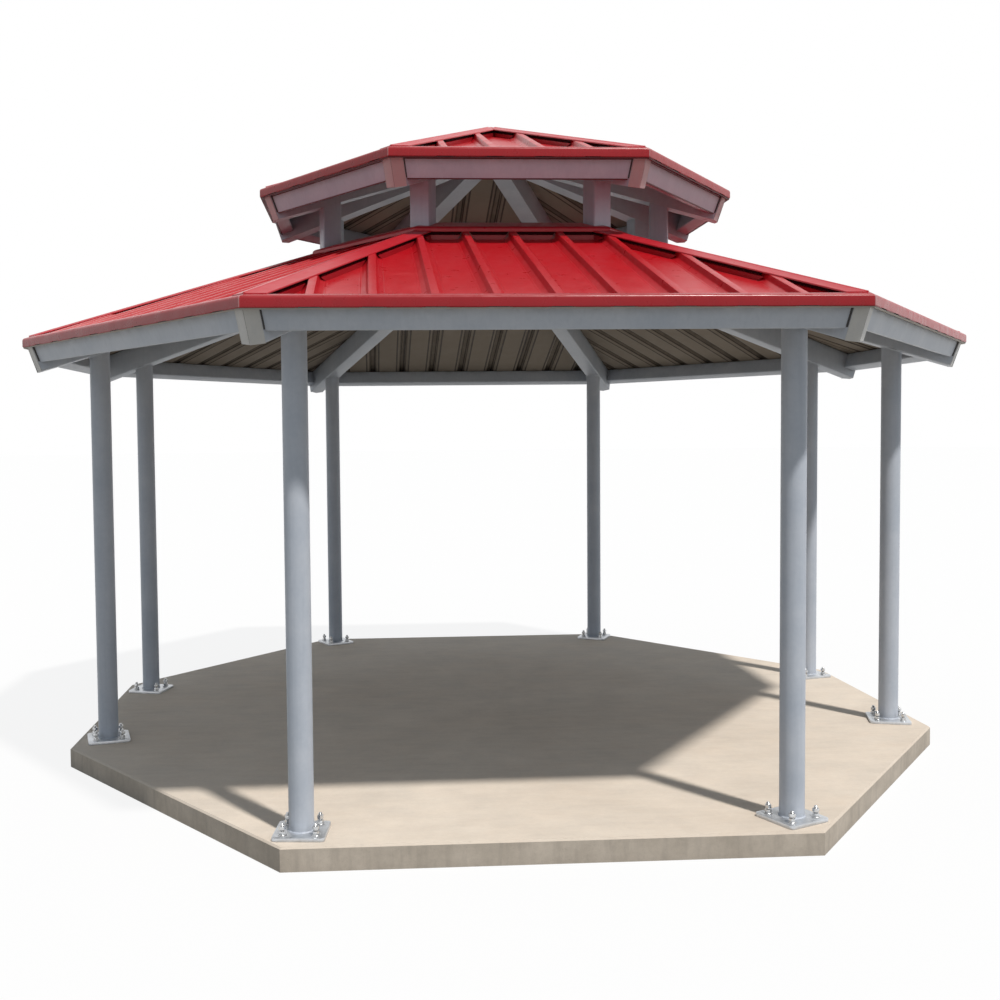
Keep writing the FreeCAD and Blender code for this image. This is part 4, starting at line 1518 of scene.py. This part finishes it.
@dataclass
class EaveBeams:
    """Rounded rectangular tubes under the eaves, with dark strips painted as shade at their end joints and
    dark red lines painted as shade along the upper beams.
    """

    plan: Plan
    soft: float = 0.010
    end_gap: float = 0.001
    shade_strip_width: float = 0.004
    shade_strip_stand: float = 0.009
    # Width, stand and drop of the dark red lines of painted shade on the upper beams.
    shade_line_width: float = 0.007
    shade_line_stand: float = 0.0012
    shade_line_drop: float = 0.012
    edge: float = 0.001

    def build(self) -> None:
        """Makes a piece for each lower beam, one for the upper ones, the painted shade at the joints and the
        upper beams' painted shade lines.
        """
        plan = self.plan
        for side in plan.sides:
            builder = MeshBuilder()
            self.beam(builder, side, plan.lower)
            name = "eave_beam_" + side.name.value
            builder.piece("tube_" + name, Slot.FRAME, [FRAME_GREY], [name])
        builder = MeshBuilder()
        for side in plan.sides:
            self.beam(builder, side, plan.upper)
        builder.piece("tube_upper_eave_beams", Slot.FRAME, [FRAME_GREY], ["upper_eave_beams"])
        for tier in (plan.lower, plan.upper):
            builder = MeshBuilder()
            for side in plan.sides:
                self.joints(builder, side, tier)
            # Near-black strips at the beam ends: painted shade.
            builder.piece(tier.name + "_beam_joint_shade", Slot.FRAME, [DARK_GAP_SHADE])
        builder = MeshBuilder()
        for side in plan.sides:
            self.shade_lines(builder, side, plan.upper)
        # Dark red lines on the upper beams: painted shade.
        builder.piece("upper_beam_shade_lines", Slot.TRIM, [TRIM_RED_SHADE])

    def across(self, side: Side, tier: Tier, outline: Outline) -> Outline:
        """Turns distances up and out of the slope into apothem and height, under the sheet."""
        drop = self.plan.sheet * math.cos(math.atan2(tier.pitch, side.reach))
        return [side.on_slope(tier, up_slope, normal - drop) for up_slope, normal in outline]

    def beam(self, builder: MeshBuilder, side: Side, tier: Tier) -> None:
        """Adds one beam between two rafters."""
        near = self.plan.beam_set_back
        outline = soft_box((near, -tier.beam_depth), (near + self.plan.beam_width, 0.0), self.soft)
        side.run(builder, self.across(side, tier, outline), self.plan.rafter_width / 2 + self.end_gap)

    def joints(self, builder: MeshBuilder, side: Side, tier: Tier) -> None:
        """Adds the dark strip painted as shade in front of each beam's ends, on the rafter's side."""
        near = self.plan.beam_set_back - self.shade_strip_stand
        low = -tier.beam_depth + self.soft
        outline = soft_box((near, low), (self.plan.beam_set_back + 0.003, -0.004), self.edge, 1)
        half = self.plan.rafter_width / 2
        for end in End:
            side.stub(builder, end, self.across(side, tier, outline), [half + 0.0003, half + self.shade_strip_width])

    def shade_lines(self, builder: MeshBuilder, side: Side, tier: Tier) -> None:
        """Adds the thin dark red lines round the face of an upper beam: painted shade."""
        near = self.plan.beam_set_back - self.shade_line_stand
        far = self.plan.beam_set_back + self.soft
        half = self.plan.rafter_width / 2
        deep = -tier.beam_depth
        lower_line = (deep - self.shade_line_stand, deep + self.shade_line_width)
        upper_line = (-self.shade_line_drop - self.shade_line_width, -self.shade_line_drop)
        for low, high in (lower_line, upper_line):
            outline = soft_box((near, low), (far if low < deep else far - 0.006, high), self.edge, 1)
            side.run(builder, self.across(side, tier, outline), half + self.shade_strip_width)


@dataclass
class Rafters:
    """Rounded rectangular hip rafters, and the plates on the tips of both tiers."""

    plan: Plan
    soft: float = 0.010
    plate: float = 0.003
    seam: float = 0.0022
    bevel: float = 0.0012
    plate_drop: float = 0.008

    def build(self) -> None:
        """Makes a piece for each lower rafter, the tip plates and the dark strips painted as shade in the
        seams between them.
        """
        plan = self.plan
        for index, corner in enumerate(plan.corners):
            builder = MeshBuilder()
            self.tube(builder, index)
            name = "rafter_" + corner.name.value
            builder.piece("tube_" + name, Slot.FRAME, [FRAME_GREY], [name])
        # The upper tip plates take a rosy grey, a painted reflection of the red roof.
        for tier, finish in ((plan.lower, TIP_GREY), (plan.upper, UPPER_TIP_RED_REFLECTION)):
            plates, seam_shade = MeshBuilder(), MeshBuilder()
            for side in plan.sides:
                for end in End:
                    self.tip_plate(plates, side, end, tier)
                    self.tip_seam_shade(seam_shade, side, end, tier)
            plates.piece(tier.name + "_rafter_tip_plates", Slot.FRAME, [finish])
            # Near-black strips in the tip seams: painted shade.
            seam_shade.piece(tier.name + "_rafter_tip_seam_shade", Slot.FRAME, [DARK_GAP_SHADE])

    def tube(self, builder: MeshBuilder, index: int) -> None:
        """Adds one lower rafter, cut to both eaves at its tip and upright at the lantern."""
        plan = self.plan
        corner = plan.corners[index]
        tier = plan.lower
        place = corner.down_hip(tier, plan.rafter_width, plan.sheet)
        origin, turn = place.translation, place.to_3x3()
        down = turn @ Vector((1.0, 0.0, 0.0))
        half, depth = plan.rafter_width / 2, plan.rafter_depth
        corners: SoftOutline = [
            (0.0, -depth, 0.0),
            (half, -depth, self.soft),
            (half, 0.0, self.soft),
            (0.0, 0.0, 0.0),
            (-half, 0.0, self.soft),
            (-half, -depth, self.soft),
        ]
        outline = softened(corners)
        post_face = plan.lantern_apothem * corner.stretch + plan.lantern_post / 2
        near, far = [], []
        for across, normal in outline:
            start = origin + turn @ Vector((0.0, across, normal))
            near.append(start + down * ((post_face - start.dot(corner.out)) / down.dot(corner.out)))
            steps = []
            for side in (plan.sides[index - 1], plan.sides[index]):
                apothem, height = side.on_slope(tier, plan.rafter_set_back, 0.0)
                angle = math.atan2(tier.pitch, side.reach)
                up_slope = side.out * -math.cos(angle) + UP * math.sin(angle)
                facing = side.point(0.0, apothem, height) - start
                steps.append(facing.dot(up_slope) / down.dot(up_slope))
            far.append(start + down * min(steps))
        builder.loft([near, far], caps=False)
        builder.face(near[::-1])
        middle = outline.index((0.0, 0.0))
        builder.face(far[: middle + 1])
        builder.face(far[middle:] + far[:1])

    def on_tip(self, side: Side, end: End, tier: Tier, inset: float, stand: float, depth: float) -> Vector:
        """Point on the plane of a rafter's tip.

        Args:
            side: The side that the tip's face looks to.
            end: Which hip of the side.
            tier: The roof tier.
            inset: Distance from the hip plane.
            stand: How far the point stands in front of the tip.
            depth: Distance down the face from the pans' plane.

        Returns:
            The point.
        """
        apothem, height = side.on_slope(tier, self.plan.rafter_set_back - stand, -depth)
        return side.point(side.edge(end, apothem, inset), apothem, height)

    def tip_depth(self, side: Side, end: End, tier: Tier, inset: float, stand: float) -> float:
        """Distance down the tip's face to the rafter's underside."""
        corner = (side.left, side.right)[end.value]
        gaps = []
        for depth in (0.0, 0.1):
            spot = self.on_tip(side, end, tier, inset, stand, depth)
            gaps.append(spot.z - self.plan.rafter_bottom(corner, tier, spot.dot(corner.out)))
        return 0.1 * gaps[0] / (gaps[0] - gaps[1])

    def tip_plate(self, builder: MeshBuilder, side: Side, end: End, tier: Tier) -> None:
        """Adds one plate with eased edges."""
        first, last = self.seam / 2, self.plan.rafter_width / 2 + 0.0005
        rows = []
        for stand, ease in ((0.0, 0.0), (self.plate - self.bevel, 0.0), (self.plate, self.bevel)):
            row = []
            inner, outer = first + ease, last - ease
            for inset, low in ((inner, False), (outer, False), (outer, True), (inner, True)):
                bottom = self.tip_depth(side, end, tier, inset, stand) - ease
                depth = bottom if low else self.plate_drop + ease
                row.append(self.on_tip(side, end, tier, inset, stand, depth))
            rows.append(row)
        builder.loft(rows)

    def tip_seam_shade(self, builder: MeshBuilder, side: Side, end: End, tier: Tier) -> None:
        """Adds half of the dark strip painted as shade in the seam between the two plates of a tip."""
        rows = []
        for stand in (0.0002, self.plate * 0.4):
            row = []
            for inset, low in ((0.0, False), (self.seam, False), (self.seam, True), (0.0, True)):
                bottom = self.tip_depth(side, end, tier, inset, stand) - 0.001
                depth = bottom if low else self.plate_drop + 0.001
                row.append(self.on_tip(side, end, tier, inset, stand, depth))
            rows.append(row)
        builder.loft(rows)


@dataclass
class LanternPosts:
    """Square posts of the lantern with rounded edges."""

    plan: Plan
    soft: float = 0.013

    def build(self) -> None:
        """Makes the eight posts as one piece."""
        plan = self.plan
        builder = MeshBuilder()
        half = plan.lantern_post / 2
        for corner in plan.corners:
            radius = plan.lantern_apothem * corner.stretch
            foot = plan.rafter_bottom(corner, plan.lower, radius + half)
            place = corner.upright(radius, 0.0)
            low, high = [], []
            for x, y in soft_box((-half, -half), (half, half), self.soft, 5):
                top = plan.rafter_bottom(corner, plan.upper, radius + x)
                low.append(place @ Vector((x, y, foot)))
                high.append(place @ Vector((x, y, top)))
            builder.loft([low, high])
        builder.piece("lantern_post_tubes", Slot.FRAME, [LANTERN_GREY], ["lantern_posts"])


@dataclass
class BasePlates:
    """Square base plates with rounded corners, a bevelled edge and their anchor bolts."""

    plan: Plan
    side: float = 0.280
    thickness: float = 0.020
    corner_cut: float = 0.026
    bevel: float = 0.003
    front_left_turn: float = math.radians(20)
    circle: float = 0.124
    stud_radius: float = 0.010
    stud_height: float = 0.062
    thread_pitch: float = 0.0025
    washer_radius: float = 0.023
    washer_thickness: float = 0.004
    nut_radius: float = 0.0185
    nut_height: float = 0.018
    nut_chamfer: float = 0.0025
    upper_nut_lift: float = 0.026
    edge: float = 0.001

    def build(self) -> None:
        """Makes the plates as one piece and the bolts as one piece for each plate."""
        plates = MeshBuilder()
        for corner in self.plan.corners:
            turn = self.front_left_turn if corner.name is CornerName.FRONT_LEFT else 0.0
            radius = self.plan.post_apothem * corner.stretch
            place = corner.upright(radius, self.plan.plate_top) @ Matrix.Rotation(turn, 4, "Z")
            self.plate(plates, place)
            bolts = MeshBuilder()
            for quarter in range(4):
                angle = math.pi / 4 + quarter * math.pi / 2
                spot = Vector((self.circle * math.cos(angle), self.circle * math.sin(angle), 0.0))
                self.bolt(bolts, place @ Matrix.Translation(spot), 0.4 + 1.3 * quarter)
            bolts.piece("anchor_bolts_" + corner.name.value, Slot.PLATE, [BOLT_ZINC])
        plates.piece("rounded_base_plates", Slot.PLATE, [ZINC], ["base_plates"])

    def plate(self, builder: MeshBuilder, place: Matrix) -> None:
        """Adds one plate, its top at the frame's origin."""
        rows = []
        half, bevel = self.side / 2, self.bevel
        for ease, height in (
            (bevel * 0.4, -self.thickness),
            (0.0, -self.thickness + bevel * 0.4),
            (0.0, -bevel),
            (bevel * 0.3, -bevel * 0.3),
            (bevel, 0.0),
        ):
            size = half - ease
            outline = soft_box((-size, -size), (size, size), self.corner_cut, 5)
            rows.append([place @ Vector((x, y, height)) for x, y in outline])
        builder.loft(rows)

    def bolt(self, builder: MeshBuilder, place: Matrix, turn: float) -> None:
        """Adds one stud with its washer and nuts.

        Args:
            builder: Where it goes.
            place: Frame on the plate's top.
            turn: Angle of the nuts.
        """
        bevel = self.edge
        washer, thick = self.washer_radius, self.washer_thickness
        builder.lathe(
            place,
            [(washer - bevel, 0.0), (washer, bevel), (washer, thick - bevel), (washer - bevel, thick)],
            28,
        )
        self.nut(builder, place @ Matrix.Rotation(turn, 4, "Z"), thick)
        self.nut(builder, place @ Matrix.Rotation(turn + 0.5, 4, "Z"), thick + self.upper_nut_lift)
        rings = [(self.stud_radius * 0.9, 0.0)]
        height = thick
        while height < self.stud_height - self.thread_pitch:
            rings.append((self.stud_radius, height))
            rings.append((self.stud_radius * 0.88, height + self.thread_pitch / 2))
            height += self.thread_pitch
        rings.append((self.stud_radius * 0.95, self.stud_height - 0.002))
        rings.append((self.stud_radius * 0.75, self.stud_height))
        builder.lathe(place, rings, 16)

    def nut(self, builder: MeshBuilder, place: Matrix, base: float) -> None:
        """Adds a hexagon nut with chamfered corners."""
        top = base + self.nut_height

        def hexagon(share: float, angle: float) -> float:
            """Radius of the nut at an angle, its corners cut back to a share of the full one."""
            flat = math.cos(math.pi / 6) / math.cos(angle % (math.pi / 3) - math.pi / 6)
            return self.nut_radius * min(flat, share)

        chamfer = self.nut_chamfer
        profile = [(0.90, base), (1.0, base + chamfer), (1.0, top - chamfer), (0.90, top)]
        builder.lathe(place, profile, 24, hexagon)


@dataclass
class WeldBeads:
    """Fillet welds round the posts, on the plates and under the rafters."""

    plan: Plan
    radius: float = 0.0045
    ripples: int = 110
    post_radius: float = 0.0675
    root: float = 0.001
    crease: float = 60.0

    def build(self) -> None:
        """Makes one piece of foot welds and one of head welds."""
        feet, heads = MeshBuilder(), MeshBuilder()
        for corner in self.plan.corners:
            radius = self.plan.post_apothem * corner.stretch
            place = corner.upright(radius, 0.0)
            self.bead(feet, place, 1.0, lambda _x: self.plan.plate_top)
            self.bead(heads, place, -1.0, self.under_rafter(corner, radius))
        feet.piece("post_foot_welds", Slot.FRAME, [FRAME_GREY], None, self.crease)
        heads.piece("post_head_welds", Slot.FRAME, [FRAME_GREY], None, self.crease)

    def under_rafter(self, corner: Corner, radius: float) -> Callable[[float], float]:
        """Height of a rafter's underside by the distance down the hip from the post's axis."""
        return lambda x: self.plan.rafter_bottom(corner, self.plan.lower, radius + x)

    def bead(self, builder: MeshBuilder, place: Matrix, rise: float, level: Callable[[float], float]) -> None:
        """Adds one ring of overlapping weld ripples.

        Args:
            builder: Where it goes.
            place: Frame on the post's axis, X down the hip.
            rise: 1 for a bead that climbs the post, -1 for one that hangs under a rafter.
            level: Height of the joint at a distance down the hip from the post's axis.
        """
        rows = []
        for i in range(self.ripples + 1):
            angle = 2 * math.pi * i / self.ripples
            ripple = i % self.ripples
            swell = self.radius * (1.0 + 0.18 * math.sin(ripple * 2.1) + 0.10 * math.sin(ripple * 0.7))
            section = (
                (-self.root, -self.root),
                (1.5 * swell, -self.root),
                (1.05 * swell, 0.55 * swell),
                (0.5 * swell, 1.1 * swell),
                (-self.root, 1.6 * swell),
            )
            row = []
            for out, up in section:
                size = self.post_radius + out
                x, y = size * math.cos(angle), size * math.sin(angle)
                row.append(place @ Vector((x, y, level(x) + up * rise)))
            rows.append(row)
        builder.loft(rows, caps=False)


@dataclass
class PhotoCamera:
    """Camera at the photograph's viewpoint."""

    eye: tuple[float, float, float] = (-0.922, -8.797, 2.235)
    yaw: float = 0.0580
    pitch: float = -0.0488
    roll: float = -0.0096
    focal_share: float = 1.1447
    middle: tuple[float, float] = (0.440, 0.490)
    sensor: float = 36.0

    def build(self) -> None:
        """Makes the camera and sets it as the scene's own."""
        ahead = Vector(
            (
                math.sin(self.yaw) * math.cos(self.pitch),
                math.cos(self.yaw) * math.cos(self.pitch),
                math.sin(self.pitch),
            )
        )
        level = Vector((math.cos(self.yaw), -math.sin(self.yaw), 0.0))
        rise = level.cross(ahead)
        right = level * math.cos(self.roll) + rise * math.sin(self.roll)
        above = rise * math.cos(self.roll) - level * math.sin(self.roll)
        data = bpy.data.cameras.new("photo_camera")
        data.sensor_width = self.sensor
        data.lens = self.sensor * self.focal_share
        data.shift_x = 0.5 - self.middle[0]
        data.shift_y = self.middle[1] - 0.5
        data.clip_end = 500.0
        item = bpy.data.objects.new("photo_camera", data)
        item.matrix_world = axes(Vector(self.eye), right, above, -ahead)
        bpy.context.scene.collection.objects.link(item)
        bpy.context.scene.camera = item
        LOG.info("camera at %s", self.eye)


@dataclass
class Studio:
    """Pale floor, white surroundings and soft light."""

    sun_azimuth: float = math.radians(35)
    sun_height: float = math.radians(60)
    sun_softness: float = math.radians(3)
    sun_strength: float = 3.1
    sky: Colour = (0.80, 0.90, 1.0)
    sky_strength: float = 0.36
    floor_radius: float = 150.0
    floor_colour: Colour = (0.82, 0.82, 0.82)
    floor_bounce: Colour = (0.30, 0.285, 0.26)
    floor_white: float = 0.88

    def build(self) -> None:
        """Makes the floor, the surroundings and the lamp."""
        self.floor()
        self.surroundings()
        self.lamp()
        LOG.info("studio")

    def floor(self) -> None:
        """Makes a wide pale floor that stays near white to the camera."""
        mesh = bpy.data.meshes.new("studio_floor")
        bm = bmesh.new()
        bmesh.ops.create_circle(bm, cap_ends=True, segments=64, radius=self.floor_radius)
        bm.to_mesh(mesh)
        bm.free()
        item = bpy.data.objects.new("studio_floor", mesh)
        item.location.z = -0.001
        bpy.context.scene.collection.objects.link(item)
        material = bpy.data.materials.new("studio_floor")
        material.use_nodes = True
        tree = material.node_tree
        tree.nodes.clear()
        sheet = NodeSheet(tree)
        rays = sheet.add("LightPath")
        seen = sheet.maths("MAXIMUM", rays.outputs["Is Camera Ray"], rays.outputs["Is Glossy Ray"])
        seen = sheet.maths("MAXIMUM", seen, rays.outputs["Is Transmission Ray"])
        colour = sheet.blend(seen, self.floor_bounce, self.floor_colour)
        matt = sheet.add("BsdfDiffuse", {"Color": colour})
        glow = sheet.add("Emission", {"Color": (1.0, 1.0, 1.0, 1.0), "Strength": 1.0})
        share = sheet.maths("MULTIPLY", seen, self.floor_white)
        mix = sheet.add("MixShader", {0: share, 1: matt.outputs[0], 2: glow.outputs[0]})
        output = sheet.add("OutputMaterial")
        tree.links.new(mix.outputs[0], output.inputs[0])
        mesh.materials.append(material)

    def surroundings(self) -> None:
        """Sets the world: soft sky light, plain white where it is seen."""
        world = bpy.data.worlds.new("studio_world")
        bpy.context.scene.world = world
        world.use_nodes = True
        tree = world.node_tree
        tree.nodes.clear()
        sheet = NodeSheet(tree)
        light = sheet.add("Background", {"Color": (*self.sky, 1.0), "Strength": self.sky_strength})
        white = sheet.add("Background", {"Color": (1.0, 1.0, 1.0, 1.0), "Strength": 1.0})
        rays = sheet.add("LightPath")
        seen = sheet.maths("MAXIMUM", rays.outputs["Is Camera Ray"], rays.outputs["Is Glossy Ray"])
        seen = sheet.maths("MAXIMUM", seen, rays.outputs["Is Transmission Ray"])
        mix = sheet.add("MixShader", {0: seen, 1: light.outputs[0], 2: white.outputs[0]})
        output = sheet.add("OutputWorld")
        tree.links.new(mix.outputs[0], output.inputs[0])

    def lamp(self) -> None:
        """Makes the soft key light from the front right."""
        data = bpy.data.lights.new("key_light", "SUN")
        data.energy = self.sun_strength
        data.angle = self.sun_softness
        data.color = (1.0, 0.965, 0.92)
        item = bpy.data.objects.new("key_light", data)
        towards = Vector(
            (
                math.sin(self.sun_azimuth) * math.cos(self.sun_height),
                -math.cos(self.sun_azimuth) * math.cos(self.sun_height),
                math.sin(self.sun_height),
            )
        )
        item.rotation_euler = towards.to_track_quat("Z", "Y").to_euler()
        item.location = towards * 20
        bpy.context.scene.collection.objects.link(item)


def main() -> None:
    """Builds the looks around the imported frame, in order."""
    logging.basicConfig(level=logging.INFO, format="%(name)s: %(message)s")
    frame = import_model()
    bpy.context.scene.view_settings.view_transform = "Standard"
    PhotoCamera().build()
    Studio().build()
    plan = Plan()
    FrameDressing(frame["nodes"]).dress()
    RoofSheets(plan).build()
    EaveTrims(plan).build()
    HipCaps(plan).build()
    RibClosures(plan).build()
    RingCap(plan).build()
    EaveBeams(plan).build()
    Rafters(plan).build()
    LanternPosts(plan).build()
    BasePlates(plan).build()
    WeldBeads(plan).build()


if __name__ == "__main__":
    main()
